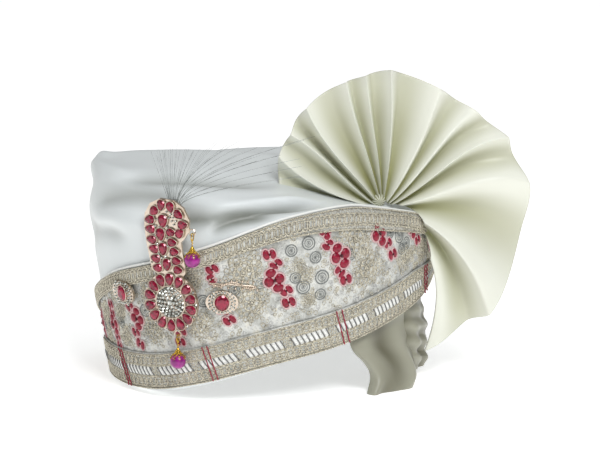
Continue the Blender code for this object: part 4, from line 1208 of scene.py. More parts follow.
# The fan's ridges, by their angles round the knot at the rim, halfway and near the knot. The
# valley after each ridge lies at a share of the way to the next one.
FAN_RIDGES = np.array((
    # rim, middle, hub, reach, height, valley, sharpness
    (168.0, 168.0, 167.0, 0.75, 0.5, 0.50, 1.3),
    (151.0, 160.0, 163.0, 0.85, 1.0, 0.60, 1.5),
    (139.5, 139.5, 146.0, 0.87, 0.9, 0.45, 1.3),
    (126.5, 130.0, 127.0, 0.935, 1.4, 0.62, 1.0),
    (106.0, 106.5, 104.0, 0.96, 1.0, 0.35, 1.0),
    (97.5, 96.5, 93.0, 0.97, 0.9, 0.35, 1.0),
    (87.0, 84.5, 82.0, 1.00, 1.3, 0.28, 1.0),
    (64.5, 60.0, 56.0, 0.94, 1.2, 0.55, 1.5),
    (46.5, 46.0, 38.0, 0.95, 0.8, 0.50, 1.6),
    (28.5, 33.5, 24.0, 1.02, 1.2, 0.45, 1.2),
    (8.0, 15.0, 9.0, 1.06, 1.1, 0.40, 1.7),
    (-45.5, -26.0, -10.0, 1.08, 1.7, 0.30, 1.6),
    (-73.5, -46.0, -26.0, 1.07, 0.5, 0.50, 1.6),
))
# How far from the knot the cloth may start, as shares of its radius, where the band is in its way
FAN_ROOTS = np.array((
    # angle, share
    (-90.0, 1.00), (-72.0, 0.93), (-62.0, 0.76), (-48.0, 0.52), (-30.0, 0.36),
    (-12.0, 0.28), (6.0, 0.15), (24.0, 0.08), (36.0, 0.06), (180.0, 0.06),
))
# The slack cloth of the fan sags below the knot that holds it, and out from the hat
FAN_SAG = np.array([2.8, 1.6, -9.0]) * MM


def fan_axes():
    """The fan's own directions: across, up, and out of its face."""
    turn = math.radians(FAN_FACING)
    across = np.array([math.cos(turn), math.sin(turn), 0.0])
    return across, np.array([0.0, 0.0, 1.0]), np.array([math.sin(turn), -math.cos(turn), 0.0])


def fan_turn(row, share):
    """The angle of a line of the fan at a share of its radius."""
    ridge = np.clip(row.astype(int), 0, len(FAN_RIDGES) - 2)
    part = row - ridge
    rim, middle, hub = (FAN_RIDGES[ridge, i] * (1 - part) + FAN_RIDGES[ridge + 1, i] * part for i in range(3))
    a, b, c = 0.1, 0.45, 1.0
    x = np.clip(share, a, c)
    return (
        hub * (x - b) * (x - c) / ((a - b) * (a - c))
        + middle * (x - a) * (x - c) / ((b - a) * (b - c))
        + rim * (x - a) * (x - b) / ((c - a) * (c - b))
    )


def fan_shape(row):
    """The cross-section of the pleats: one on each ridge and minus one in each valley."""
    ridge = np.clip(row.astype(int), 0, len(FAN_RIDGES) - 2)
    part = row - ridge
    valley = FAN_RIDGES[ridge, 5]
    sharp = FAN_RIDGES[ridge, 6] * (1 - part) + FAN_RIDGES[ridge + 1, 6] * part
    down = np.where(part < valley, part / valley, (1 - part) / (1 - valley))
    height = FAN_RIDGES[ridge, 4] * (1 - part) + FAN_RIDGES[ridge + 1, 4] * part
    return 1 - 2 * np.sin(math.pi / 2 * np.clip(down, 0, 1)) ** sharp, height


def build_fan(cloth):
    """The fan: satin pleated on its knot, each fold with its own width and bend."""
    across, up, out = fan_axes()
    knot = KNOT_BOX.mean(axis=0) + FAN_SAG
    lines = np.linspace(0, len(FAN_RIDGES) - 1, 46 * (len(FAN_RIDGES) - 1) + 1)
    ridge = np.clip(lines.astype(int), 0, len(FAN_RIDGES) - 2)
    part = lines - ridge
    wave, height = fan_shape(lines)
    height = np.maximum(height, 0.3)
    reach = FAN_RIDGES[ridge, 3] * (1 - part) + FAN_RIDGES[ridge + 1, 3] * part
    reach = reach * (1 - 0.012 * (1 - wave)) * FAN_RADIUS
    trial = np.linspace(0.06, 1.0, 95)[:, None]
    turn = fan_turn(np.broadcast_to(lines, (95, len(lines))), np.broadcast_to(trial, (95, len(lines))))
    blocked = trial * reach / FAN_RADIUS < np.interp(turn, FAN_ROOTS[:, 0], FAN_ROOTS[:, 1])
    last = np.where(blocked.any(axis=0), 94 - np.argmax(blocked[::-1], axis=0), 0)
    start = trial[np.minimum(last, 93), 0]
    start = np.convolve(np.pad(start, 6, mode="edge"), np.ones(13) / 13, mode="valid")
    rows = 64
    share = start + (1 - start) * np.linspace(0, 1, rows)[:, None] ** 0.9
    grid = np.broadcast_to(lines, share.shape)
    turn = np.radians(fan_turn(grid, share))
    radius = share * reach
    flatter = 1 - 0.4 * smooth_step((share - 0.55) / 0.45)
    lift = wave * height * cloth.pleat_depth * (radius / FAN_RADIUS) ** 0.75 * flatter
    # Slack cloth waves a little between its pleats
    lift = lift + 0.9 * MM * share * np.sin(grid * 2.7 + share * 5.0) * np.sin(grid * 1.3 - share * 9.0)
    hem = smooth_step((share - 0.96) / 0.04)
    half = 0.9 * MM * (1 + 0.35 * hem) * np.sqrt(np.clip(1.02 - hem * 0.9, 0.05, 1))
    flat = knot + (radius * np.cos(turn))[..., None] * across + (radius * np.sin(turn))[..., None] * up
    pile = Pile()
    add_cloth(pile, flat + (lift + half)[..., None] * out, flat + (lift - half)[..., None] * out)
    look = satin("polyester_satin_fan", cloth.fan, cloth.fan_painted_shade, 0.38, 0.8)
    made = pile.make("satin_fan", [look])
    # Painted shade: darker deep in the pleats' valleys, and near the knot
    deep = np.clip((0.55 - wave) / 1.6, 0, 1) ** 1.3 * np.clip(1.15 - share * 0.75, 0, 1)
    deep = np.clip(deep + 0.35 * np.clip(0.35 - share, 0, 1), 0, 1)
    tint(made, np.concatenate([deep.reshape(-1), deep.reshape(-1)]))
    dressed(made, ["pleated_fan"])
    return made


def build_knot(cloth):
    """The gathered root of the fan: cloth drawn together in small folds round the knot."""
    across, up, out = fan_axes()
    knot = KNOT_BOX.mean(axis=0) + FAN_SAG * 0.4
    rows, columns = 16, 72
    lat = np.linspace(0, math.pi, rows)[:, None]
    lon = np.linspace(0, 2 * math.pi, columns, endpoint=False)[None, :]
    fold = 1 + 0.10 * np.cos(lon * 12) * np.sin(lat) ** 1.2
    radius = 0.75 * KNOT_RADIUS * fold
    points = knot + (radius * np.sin(lat) * np.cos(lon))[..., None] * across
    points = points + (radius * np.sin(lat) * np.sin(lon))[..., None] * up
    points = points + (0.7 * KNOT_RADIUS * np.cos(lat) * np.ones_like(lon))[..., None] * out
    pile = Pile()
    pile.add(points, grid_quads(rows, columns, True))
    look = satin("polyester_satin_knot", cloth.fan, cloth.fan_painted_shade, 0.4, 0.8)
    made = pile.make("gathered_knot", [look])
    # Painted shade: darker in the valleys between the knot's small folds
    tint(made, np.broadcast_to(0.5 - 0.4 * np.cos(lon * 12), (rows, columns)))
    return dressed(made, ["fan_knot"])


# The tails from under the band down, a little fuller than the solids: heights are shares of the crown's,
# and the distance off the hat and the thickness are shares of the tail's swell
FRONT_TAIL = np.array((
    # height, start_angle, end_angle, off, thickness
    (0.360, 66.0, 96.0, 0.30, 0.40),
    (0.200, 67.0, 96.0, 0.42, 0.70),
    (0.130, 72.0, 96.0, 0.75, 1.00),
    (0.070, 73.5, 95.5, 1.05, 1.20),
    (0.025, 71.0, 93.5, 1.30, 1.25),
    (0.000, 69.5, 91.0, 1.42, 1.10),
))
REAR_TAIL = np.array((
    # height, start_angle, end_angle, off, thickness
    (0.420, 92.0, 108.5, 0.30, 0.40),
    (0.260, 92.0, 109.0, 0.42, 0.62),
    (0.190, 92.0, 109.5, 0.62, 0.80),
    (0.120, 92.0, 107.0, 0.66, 0.72),
    (0.070, 95.5, 108.0, 0.74, 0.80),
    (0.030, 96.0, 106.0, 0.70, 0.60),
))
TAIL_TOP = 0.52


def tail_pile(table, folds, ripple_count, ripple_depth):
    """A folded end of cloth: a flat roll with long folds and, where it is scrunched, ripples."""
    rows, columns = 90, 64
    heights = np.linspace(TAIL_TOP, table[-1, 0], rows)
    keys = table[::-1, 0]
    read = [np.interp(heights, keys, table[::-1, i]) for i in range(1, 5)]
    read = [np.convolve(np.pad(r, 5, mode="edge"), np.ones(11) / 11, mode="valid") for r in read]
    start, end, off, thick = (r[:, None] for r in read)
    hidden = smooth_step((heights - table[1, 0]) / 0.10)[:, None]
    turn = np.linspace(0, 2 * math.pi, columns, endpoint=False)[None, :]
    share = 0.5 + 0.5 * np.cos(turn)
    angle = start + (end - start) * share
    front = np.sin(turn)
    level = heights[:, None] * CROWN_HEIGHT
    along = along_at(*same_shape(angle, level))
    room = band_stand(angle) - GAP
    swell = thick * TAIL_SWELL
    half = np.sign(front) * np.abs(front) ** 0.7 * swell / 2
    long_fold = sum(
        depth * np.cos(2 * math.pi * (count * share - slant * heights[:, None]) + shift)
        for count, depth, slant, shift in folds
    )
    ripple = ripple_depth * np.sin(2 * math.pi * ripple_count * heights[:, None] + 3.0 * share)
    ripple = ripple * np.sin(math.pi * np.clip(heights[:, None] / table[0, 0], 0, 1)) ** 0.5
    outer = np.clip(front, 0, 1) ** 0.4
    free = off * TAIL_SWELL + half + (long_fold + ripple) * swell * outer
    tucked = GAP + room / 2 + np.sign(front) * np.abs(front) ** 0.5 * (room / 2 - GAP)
    stand = free * (1 - hidden) + tucked * hidden
    points = over_skin(angle, along, stand)
    points[..., 2] = np.maximum(level, 0.0)
    pile = Pile()
    pile.add(points, grid_quads(rows, columns, True))
    a = np.arange(columns)
    b = (a + 1) % columns
    last = (rows - 1) * columns
    middle = pile.count
    pile.add(np.stack([points[0].mean(axis=0), points[-1].mean(axis=0)]), np.zeros((0, 3)))
    pile.add_faces(np.stack([b, a, np.full(columns, middle)], -1), 0)
    pile.add_faces(np.stack([last + a, last + b, np.full(columns, middle + 1)], -1), 0)
    # Painted shade: a little all over the tail, and more in its folds and ripples
    deep = np.clip(0.35 - (long_fold + ripple) * 1.6, 0, 1) * np.ones((rows, columns))
    return pile, np.concatenate([deep.reshape(-1), [0.3, 0.3]])


def build_tails(cloth):
    """The two short ends of cloth that hang from under the band to the surface."""
    # The tails' light colour is painted shade: darker than the fan's satin all over
    look = satin("polyester_satin_tails", cloth.tail, cloth.tail_painted_fold_shade, 0.38, 0.8)
    plans = (
        (
            "front_cloth_end", "front_tail", FRONT_TAIL,
            ((1.6, 0.20, 0.9, 0.4), (2.6, 0.08, -1.4, 1.0)), 3.0, 0.03, (0.07, 0.08), 0.0042,
        ),
        (
            "rear_cloth_end", "rear_tail", REAR_TAIL,
            ((1.2, 0.12, 1.5, 0.0), (2.2, 0.08, -2.0, 0.8)), 13.0, 0.16, (0.05, 0.07), 0.0024,
        ),
    )
    for name, solid, table, folds, ripples, depth, flat, area in plans:
        pile, deep = tail_pile(table, folds, ripples, depth)
        made = pile.make(name, [look])
        tint(made, deep)
        dressed(made, [solid])


# The brooch

BROOCH_HEIGHT = 84.0 * MM
BROOCH_LEAN = 4.5
PLATE_THICKNESS = 1.6 * MM
FLOWER_RADIUS = 19.4 * MM
PETAL_RING = 15.1 * MM
PETAL_COUNT = 14
PETAL_SIZE = np.array([7.992, 5.824]) * MM
DROP_SIZE = np.array([7.08, 5.428]) * MM
DROP_POINT = 0.3
STONE_HEIGHT = 2.4 * MM
COLLET_WIRE = 0.55 * MM
FIELD_HALF_HEIGHT = 1.3 * MM
FIELD_RADIUS = 10.2 * MM
OVAL_HEIGHT = 10.4 * MM
BEAD_RADIUS = 5.0 * MM
PAISLEY_STONES = (
    # across, up, size, turn
    (-0.045, 0.758, 1.00, -8.0), (0.036, 0.750, 1.00, 14.0), (-0.112, 0.706, 1.00, -48.0),
    (0.104, 0.700, 1.00, 58.0), (-0.152, 0.636, 1.00, -78.0), (0.138, 0.622, 1.00, 100.0),
    (-0.150, 0.562, 1.00, -92.0), (0.108, 0.555, 1.00, 132.0), (-0.142, 0.480, 1.00, -96.0),
    (-0.126, 0.408, 1.00, -98.0), (-0.114, 0.334, 1.00, -96.0), (-0.100, 0.262, 0.96, -92.0),
    (-0.036, 0.634, 1.20, 0.0), (-0.062, 0.528, 1.16, 8.0), (-0.046, 0.414, 1.16, 4.0),
    (-0.016, 0.294, 1.12, 0.0), (0.030, 0.552, 0.94, 90.0), (0.038, 0.474, 0.94, 92.0),
    (0.054, 0.402, 0.94, 92.0), (0.070, 0.332, 0.94, 90.0), (0.080, 0.262, 0.92, 88.0),
)
# Small clear crystals between the paisley's drops, as shares of the brooch's height
PAISLEY_CRYSTALS = (
    # across, up
    (0.030, 0.690), (0.052, 0.668), (0.040, 0.640), (0.066, 0.700), (0.020, 0.664), (0.072, 0.642),
    (0.056, 0.614), (-0.004, 0.708), (-0.094, 0.640), (-0.104, 0.590), (-0.004, 0.590),
    (-0.110, 0.520), (-0.012, 0.500), (-0.096, 0.446), (0.002, 0.440), (-0.084, 0.372),
    (0.012, 0.370), (-0.070, 0.300), (0.030, 0.300), (-0.060, 0.342), (0.022, 0.338),
    (-0.030, 0.354), (-0.058, 0.472), (-0.074, 0.580), (-0.150, 0.300),
)
# The rings of small crystals in the flower's middle
FIELD_RINGS = (
    # reach, count
    (0.0, 1), (0.30, 6), (0.52, 12), (0.72, 17), (0.90, 22),
)
SIDE_MOUNTS = (
    # setting, stone, stone_width_mm
    ("right_side_setting", "right_oval_stone", 9.2),
    ("left_side_setting", "left_oval_stone", 8.4),
)


def brooch_frame():
    """The brooch's own directions as a matrix's columns, and the middle of its flower, on its back."""
    lean = math.radians(BROOCH_LEAN)
    across = np.array([1.0, 0.0, 0.0])
    up = np.array([0.0, -math.sin(lean), math.cos(lean)])
    out = np.cross(across, up)
    middle = np.array(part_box("centre_crystals")).mean(axis=0)
    back = middle - out * (FIELD_HALF_HEIGHT + GAP + PLATE_THICKNESS)
    return np.stack([across, up, out], -1), back


def moved(start, axes, across, up, out=0.0):
    """A place, or many, that lies across, up and out from a start along the columns of axes."""
    return start + np.stack(same_shape(across, up, out), -1) @ axes.T


def drop_ring(axes, turn, size, point, count):
    """The outline of a drop stone about its middle: its tip is at the first place."""
    toward = math.radians(turn)
    tip = axes[:, 0] * math.sin(toward) - axes[:, 1] * math.cos(toward)
    side = np.cross(axes[:, 2], tip)
    around = 2 * math.pi * np.arange(count) / count
    forth = np.cos(around) * size[0] / 2
    wide = np.sin(around) * size[1] / 2 * (1 - point * np.cos(around))
    return tip * forth[:, None] + side * wide[:, None]


class Jewels:
    """The stones, collets and crystals of the brooch, which are set one after another."""

    def __init__(self, seed, crystal_size):
        self.chance = np.random.default_rng(seed)
        self.crystal_size = crystal_size
        self.stones = Pile()
        self.collets = Pile()
        self.crystals = Pile()
        self.red_facet_glints = []
        self.clear_facet_glints = []

    def set_stone(self, base, axes, turn, size, point=DROP_POINT):
        """A cut stone with three rows of facets under a flat table, in a thin plated rim."""
        count = 14
        ring = drop_ring(axes, turn, size, point, count)
        rows = ((0.92, 0.0), (1.0, 0.40), (0.80, 0.78), (0.52, 1.0))
        lift = axes[:, 2] * STONE_HEIGHT
        points = [base + ring * share + lift * height for share, height in rows]
        first = self.stones.count
        self.stones.add(np.concatenate([*points, [base + lift]]), grid_quads(len(rows), count, True))
        a = np.arange(count)
        last = (len(rows) - 1) * count
        table = np.stack([last + a, last + (a + 1) % count, np.full(count, last + count)], -1)
        self.stones.add_faces(table, first)
        # Each point of the stone gets a random amount of painted glint against painted shade
        self.red_facet_glints.append(self.chance.uniform(0.2, 1.0, len(rows) * count + 1))
        sides = 28
        low = base + drop_ring(axes, turn, np.asarray(size) + COLLET_WIRE, point, sides)
        high = low + 0.42 * lift
        add_tube(self.collets, high, COLLET_WIRE / 2, 6, 0, True)
        a = np.arange(sides)
        b = (a + 1) % sides
        self.collets.add(np.concatenate([low, high]), np.stack([a, b, b + sides, a + sides], -1))

    def set_crystals(self, places, axes, share=1.0):
        """Small cut crystals, each turned its own way."""
        shape = cut_shape(8, 0.5, 0.62, 0.6)
        many = np.broadcast_to(axes, (len(places), 3, 3))
        frames = turned_frames(many, self.chance.uniform(0, 360, len(places)))
        sizes = self.crystal_size * share * self.chance.uniform(0.85, 1.15, len(places))
        self.crystals.stamp(shape, places, frames, sizes)
        # Each point of a crystal gets a random amount of painted glint against painted shade
        facet_glint = self.chance.uniform(0.0, 1.0, (len(places), len(shape[0])))
        # Painted shade: the girdle and the stone's back are darker than its table
        facet_glint[:, :16] *= 0.75
        self.clear_facet_glints.append(facet_glint.reshape(-1))


def set_flower(jewels, face, axes):
    """The flower's petals."""
    for i in range(PETAL_COUNT):
        turn = 2 * math.pi * i / PETAL_COUNT
        place = moved(face, axes, PETAL_RING * math.sin(turn), PETAL_RING * math.cos(turn))
        jewels.set_stone(place, axes, -math.degrees(turn), PETAL_SIZE)


def set_paisley(jewels, face, axes):
    """The drops of the paisley above the flower."""
    for across, up, size, turn in PAISLEY_STONES:
        place = moved(face, axes, across * BROOCH_HEIGHT, up * BROOCH_HEIGHT)
        jewels.set_stone(place, axes, turn, DROP_SIZE * size)


def set_field(jewels, face, axes):
    """Rings of small crystals round a larger one in a thin rim, then those about the petals and drops."""
    places = []
    for reach, count in FIELD_RINGS:
        for k in range(count):
            turn = 2 * math.pi * (k + 0.5 * (count % 2)) / count
            far = reach * FIELD_RADIUS
            lift = 0.6 * MM + 1.4 * MM * (1 - reach**2)
            places.append(moved(face, axes, far * math.cos(turn), far * math.sin(turn), lift))
    jewels.set_crystals(places[1:], axes, 1.35)
    jewels.set_crystals(places[:1], axes, 2.1)
    around = 2 * math.pi * np.arange(64) / 64
    far = FIELD_RADIUS * 1.04
    rim = moved(face, axes, far * np.cos(around), far * np.sin(around), 0.8 * MM)
    add_tube(jewels.collets, rim, 0.5 * MM, 6, 0, True)
    # The paisley covers the petals' ends at the top
    turn = 2 * math.pi * (np.arange(2, PETAL_COUNT - 2) + 0.5) / PETAL_COUNT
    far = FLOWER_RADIUS * 0.965
    jewels.set_crystals(moved(face, axes, far * np.sin(turn), far * np.cos(turn), 0.5 * MM), axes)
    across, up = np.array(PAISLEY_CRYSTALS).T * BROOCH_HEIGHT
    jewels.set_crystals(moved(face, axes, across, up, 0.7 * MM), axes, 0.9)


def set_side_mount(jewels, setting, stone, width):
    """An oval red stone in two rings of crystals."""
    middle = np.array(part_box(stone)).mean(axis=0)
    out = middle - np.array(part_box(setting)).mean(axis=0)
    out /= np.linalg.norm(out)
    across = np.cross(np.array([0.0, 0.0, 1.0]), out)
    across /= np.linalg.norm(across)
    axes = np.stack([across, np.cross(out, across), out], -1)
    base = middle - out * STONE_HEIGHT / 2
    jewels.set_stone(base, axes, 0.0, (OVAL_HEIGHT, width), 0.0)
    halo = []
    for far, count, offset in ((1.0, 20, 0.0), (1.28, 24, 0.5)):
        turn = 2 * math.pi * (np.arange(count) + offset) / count
        up = 6.9 * MM * far * np.sin(turn)
        # The outer ring's crystals above and below the setting's edge are left out
        kept = np.abs(up) <= 7.4 * MM
        halo.append(moved(base, axes, 6.4 * MM * far * np.cos(turn)[kept], up[kept], 0.5 * MM))
    jewels.set_crystals(np.concatenate(halo), axes, 0.95)


def set_sprig(jewels):
    """A sprig of plated grains on a wire, which runs over the band to the right."""
    # It starts at 18.5 degrees and is 15 degrees long, and falls by 0.14 of the band's width
    start, length, fall, lower = 18.5, 15.0, 0.14, 0.93
    grains = []
    for k in range(26):
        part = k / 25
        angle = start + length * part
        grains.append((angle, 0.80 - 0.02 * math.sin(part * 9) - fall * part))
        if k % 3 == 0:
            grains.append((angle, 0.83 - fall * part))
        if k % 4 == 1:
            grains.append((angle + 0.6, 0.765 - fall * part))
    angle, share = np.array(grains).T
    share = share * lower
    wire = angle[::2]
    wire_share = lower * (0.80 - fall * (wire - start) / length)
    add_tube(jewels.collets, on_band(wire, wire_share, 0.7 * MM), 0.5 * MM, 6)
    places = on_band(angle, share, 0.8 * MM)
    frames = band_frames(angle, share)
    jewels.collets.stamp(dome_shape(8, 3), places, frames, [jewels.crystal_size * 0.95])


def build_brooch(settings):
    """The kalgi: drops of red glass in thin collets, with clear crystals between them."""
    axes, back = brooch_frame()
    face = back + axes[:, 2] * (PLATE_THICKNESS + GAP)
    rose = plated_metal("rose_gold_plate", settings.setting, settings.setting_dark, 0.28)
    red = glass_stone("red_foil_glass", settings.stone, settings.stone_painted_shade, 0.25)
    clear = glass_stone("clear_foil_glass", settings.crystal, settings.crystal_painted_shade, 0.45)
    for name in ("brooch_setting", "right_side_setting", "left_side_setting"):
        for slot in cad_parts[name].material_slots:
            slot.material = rose
    jewels = Jewels(seed=11, crystal_size=settings.crystal_size)
    set_flower(jewels, face, axes)
    set_paisley(jewels, face, axes)
    set_field(jewels, face, axes)
    for setting, stone, width_mm in SIDE_MOUNTS:
        set_side_mount(jewels, setting, stone, width_mm * MM)
    set_sprig(jewels)
    made = jewels.stones.make("red_glass_stones", [red], smooth=False)
    tint(made, np.concatenate(jewels.red_facet_glints))
    replaced = [f"petal_stone_{i:02d}" for i in range(1, PETAL_COUNT + 1)]
    replaced += [f"paisley_stone_{i:02d}" for i in range(1, len(PAISLEY_STONES) + 1)]
    dressed(made, [*replaced, "right_oval_stone", "left_oval_stone"])
    made = jewels.crystals.make("clear_crystals", [clear], smooth=False)
    tint(made, np.concatenate(jewels.clear_facet_glints))
    dressed(made, ["centre_crystals"])
    dressed(jewels.collets.make("stone_collets", [rose]))


def ball_points(middle, radius, lat, lon):
    """Places on a ball by angle down from its top and round it."""
    way = [np.sin(lat) * np.cos(lon), np.sin(lat) * np.sin(lon), np.cos(lat) * np.ones_like(lon)]
    return middle + np.stack([radius * part for part in way], -1)


def add_cap(pile, middle, top):
    """Eight pierced leaves that lie on the bead in two rows, under a crown of small grains."""
    ring = ring_shape(0.16, 14, 5)
    for k in range(8):
        turn = 2 * math.pi * k / 8
        for lift, size in ((0.62, 1.25), (0.30, 0.85)):
            polar = math.pi / 2 * (1 - lift) * 0.98
            out = ball_points(0.0, 1.0, polar, turn)
            side = np.array([-math.sin(turn), math.cos(turn), 0.0])
            leaf = np.stack([side, np.cross(out, side), out], -1)
            half = np.array([[0.8 * size, size, 1.6]]) * MM
            pile.stamp(ring, [middle + out * (BEAD_RADIUS + 0.25 * MM)], leaf[None], half)
    for count, far, high in ((10, 2.3, -0.1), (8, 1.7, 0.9), (6, 1.2, 1.8)):
        turn = 2 * math.pi * np.arange(count) / count
        places = moved(top, np.eye(3), far * MM * np.cos(turn), far * MM * np.sin(turn), high * MM)
        pile.stamp(dome_shape(8, 3), places, np.eye(3)[None], [0.55 * MM])
    heights = np.array([-0.4, 0.6, 1.6, 2.6, 3.4, 3.8]) * MM
    widths = np.array([2.4, 2.0, 1.5, 1.15, 0.8, 0.5]) * MM
    add_tube(pile, top + np.outer(heights, [0.0, 0.0, 1.0]), widths, 16)


def add_hook(pile, top, upper):
    """A wound stem above the cap, and the loop that hangs in the brooch's eye."""
    wind = np.linspace(0, 5 * math.pi, 14)
    rise = np.linspace(3.6 * MM, upper - 4.4 * MM - top[2], 14)
    coil = 0.35 * MM
    add_tube(pile, moved(top, np.eye(3), coil * np.cos(wind), coil * np.sin(wind), rise), 0.34 * MM, 6)
    turn = np.linspace(-1.3, 2 * math.pi - 1.9, 30)
    middle = np.array([top[0], top[1], upper - 3.0 * MM])
    sway = 0.3 * MM * np.sin(turn / 2)
    loop = moved(middle, np.eye(3), sway, 1.8 * MM * np.cos(turn), 2.7 * MM * np.sin(turn))
    add_tube(pile, loop, 0.36 * MM, 6)


def build_drops(settings):
    """The hanging drops: a magenta bead under a pierced gold cap on a bent wire."""
    gold = plated_metal("gold_plate", settings.gold, settings.gold_dark, 0.24)
    dyed = dyed_bead(settings.bead, settings.bead_dark)
    rows, columns = 28, 40
    lat = np.linspace(0, math.pi, rows)[:, None]
    lon = np.linspace(0, 2 * math.pi, columns, endpoint=False)[None, :]
    # Ground by hand, so not quite round
    radius = BEAD_RADIUS * (1 + 0.012 * np.cos(3 * lon) * np.sin(lat) ** 2)
    for name in ("upper", "lower"):
        middle = np.array(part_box(f"{name}_drop_bead")).mean(axis=0)
        top = middle + np.array([0.0, 0.0, BEAD_RADIUS])
        bead = Pile()
        bead.add(ball_points(middle, radius, lat, lon), grid_quads(rows, columns, True)[:, ::-1])
        dressed(bead.make(f"{name}_bead", [dyed]), [f"{name}_drop_bead"])
        cap = Pile()
        add_cap(cap, middle, top)
        add_hook(cap, top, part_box(f"{name}_drop_cap")[1][2])
        dressed(cap.make(f"{name}_cap_and_wire", [gold]), [f"{name}_drop_cap"])


PLUME_LENGTH = 92.0 * MM
# Where the filaments end, off their root, as shares of the plume's length
PLUME_TIPS = np.array((
    # place_in_spray, across, back, up, bend
    (0.00, -0.17, 0.06, 0.37, 1.1),
    (0.12, -0.10, 0.05, 0.42, 1.1),
    (0.28, 0.00, 0.06, 0.45, 1.2),
    (0.42, 0.14, 0.07, 0.46, 1.3),
    (0.56, 0.30, 0.10, 0.48, 1.3),
    (0.68, 0.48, 0.16, 0.47, 1.4),
    (0.80, 0.66, 0.26, 0.44, 1.5),
    (0.90, 0.78, 0.36, 0.52, 1.6),
    (1.00, 0.84, 0.42, 0.62, 1.5),
))


def build_plume(plume):
    """Clear filaments that spread from behind the top of the brooch, each with its own bend."""
    chance = np.random.default_rng(23)
    axes, back = brooch_frame()
    root_up = 0.808 * BROOCH_HEIGHT - 7.0 * MM
    root = moved(back, axes, 0.05 * BROOCH_HEIGHT, root_up, -GAP - 0.9 * MM)
    pile = Pile()
    steps = np.linspace(0.0, 1.0, 26)
    for i in range(plume.count):
        place = (i + chance.uniform(-0.4, 0.4)) / (plume.count - 1)
        place = min(max(place, 0.0), 1.0) ** 1.12
        across, behind, up, bend = (np.interp(place, PLUME_TIPS[:, 0], tips) for tips in PLUME_TIPS.T[1:])
        length = chance.uniform(0.88, 1.04)
        # The longest ones fan out: some stay high, and some bend low over the crown
        up -= chance.uniform(0.0, 0.30) * float(smooth_step((place - 0.66) / 0.2))
        tip = np.array([across, behind, up]) * PLUME_LENGTH * length
        tip = tip + chance.uniform(-1.0, 1.0, 3) * np.array([1.4, 1.0, 1.4]) * MM
        start = moved(root, axes, (place - 0.5) * 7.0 * MM, 0.0, chance.uniform(-0.6, 0.6) * MM)
        rise = 0.72 if across > 0.3 else 0.92
        path = moved(start, axes, tip[0] * steps**bend, tip[2] * steps**rise, -tip[1] * steps**1.6)
        add_tube(pile, path, plume.radius * (1 - 0.4 * steps), 4)
    binding = moved(root, axes, 0.0, 0.8 * MM * np.arange(9))
    add_tube(pile, binding, 1.5 * MM, 10)
    look = nylon(plume.light, plume.dark)
    return dressed(pile.make("plume_filaments", [look]), ["plume"])


# The stage

SENSOR = 36.0
LENS = 460.5
# The photograph's frame, 600 by 450, is 390 mm wide at the hat. Its middle lies this far from the
# middle of the crown's foot, to the right and up in the picture.
FRAME_RIGHT = 22.1 * MM
FRAME_UP = 90.4 * MM
LAMPS = (
    # name, place, size, power, colour
    ("soft_box_left", (-1.5, -1.3, 1.7), 1.6, 7.0, (1.0, 0.99, 0.97)),
    ("soft_box_right", (1.5, -1.3, 2.0), 1.0, 42.0, (0.97, 0.98, 1.0)),
    ("soft_box_top", (0.2, 0.5, 2.2), 1.8, 12.0, (1.0, 1.0, 1.0)),
)
LAMPS_AIM = Vector((0.0, 0.0, 0.08))
FLOOR_REACH = 4.0


def build_floor(colour):
    """A wide, flat floor just under the hat."""
    far = FLOOR_REACH
    mesh = bpy.data.meshes.new("floor")
    corners = [(-far, -far, 0.0), (far, -far, 0.0), (far, far, 0.0), (-far, far, 0.0)]
    mesh.from_pydata(corners, [], [(0, 1, 2, 3)])
    mesh.materials.append(opal_board("opal_acrylic_board", colour))
    floor = bpy.data.objects.new("floor", mesh)
    floor.location.z = -0.2 * MM
    bpy.context.scene.collection.objects.link(floor)


def build_lights():
    """A dim room, and three soft boxes: the right one is the brightest."""
    world = bpy.data.worlds.new("soft_room")
    world.use_nodes = True
    world.node_tree.nodes["Background"].inputs["Color"].default_value = (0.97, 0.98, 1.0, 1.0)
    world.node_tree.nodes["Background"].inputs["Strength"].default_value = 0.24
    bpy.context.scene.world = world
    for name, place, size, power, colour in LAMPS:
        lamp = bpy.data.lights.new(name, "AREA")
        lamp.size = size
        lamp.energy = power
        lamp.color = colour
        made = bpy.data.objects.new(name, lamp)
        made.location = place
        made.rotation_euler = (LAMPS_AIM - Vector(place)).to_track_quat("-Z", "Y").to_euler()
        bpy.context.scene.collection.objects.link(made)


def build_camera(azimuth, elevation, distance):
    """The camera of the photograph, which looks at the middle of its frame."""
    back = Vector((
        math.sin(azimuth) * math.cos(elevation), -math.cos(azimuth) * math.cos(elevation), math.sin(elevation)
    ))
    right = Vector((math.cos(azimuth), math.sin(azimuth), 0.0))
    up = back.cross(right)
    target = Vector(SHIFT) + right * FRAME_RIGHT + up * FRAME_UP
    lens = bpy.data.cameras.new("photo_camera")
    lens.lens = LENS
    lens.sensor_width = SENSOR
    lens.clip_start = 0.05
    camera = bpy.data.objects.new("photo_camera", lens)
    camera.location = target + back * distance
    camera.rotation_euler = back.to_track_quat("Z", "Y").to_euler()
    bpy.context.scene.collection.objects.link(camera)
    bpy.context.scene.camera = camera


def build_stage(stage):
    """The pale floor, the lights and the camera."""
    bpy.context.scene.view_settings.view_transform = "Standard"
    build_floor(stage.floor)
    build_lights()
    build_camera(stage.azimuth, stage.elevation, stage.distance)


# Operators, panel and registration


class PAGRI_OT_stage(bpy.types.Operator):
    """Sets the pale floor, the soft lights and the camera"""

    bl_idname = "pagri.stage"
    bl_label = "Stage"

    def execute(self, context):
        build_stage(context.scene.pagri_stage)
        return {"FINISHED"}


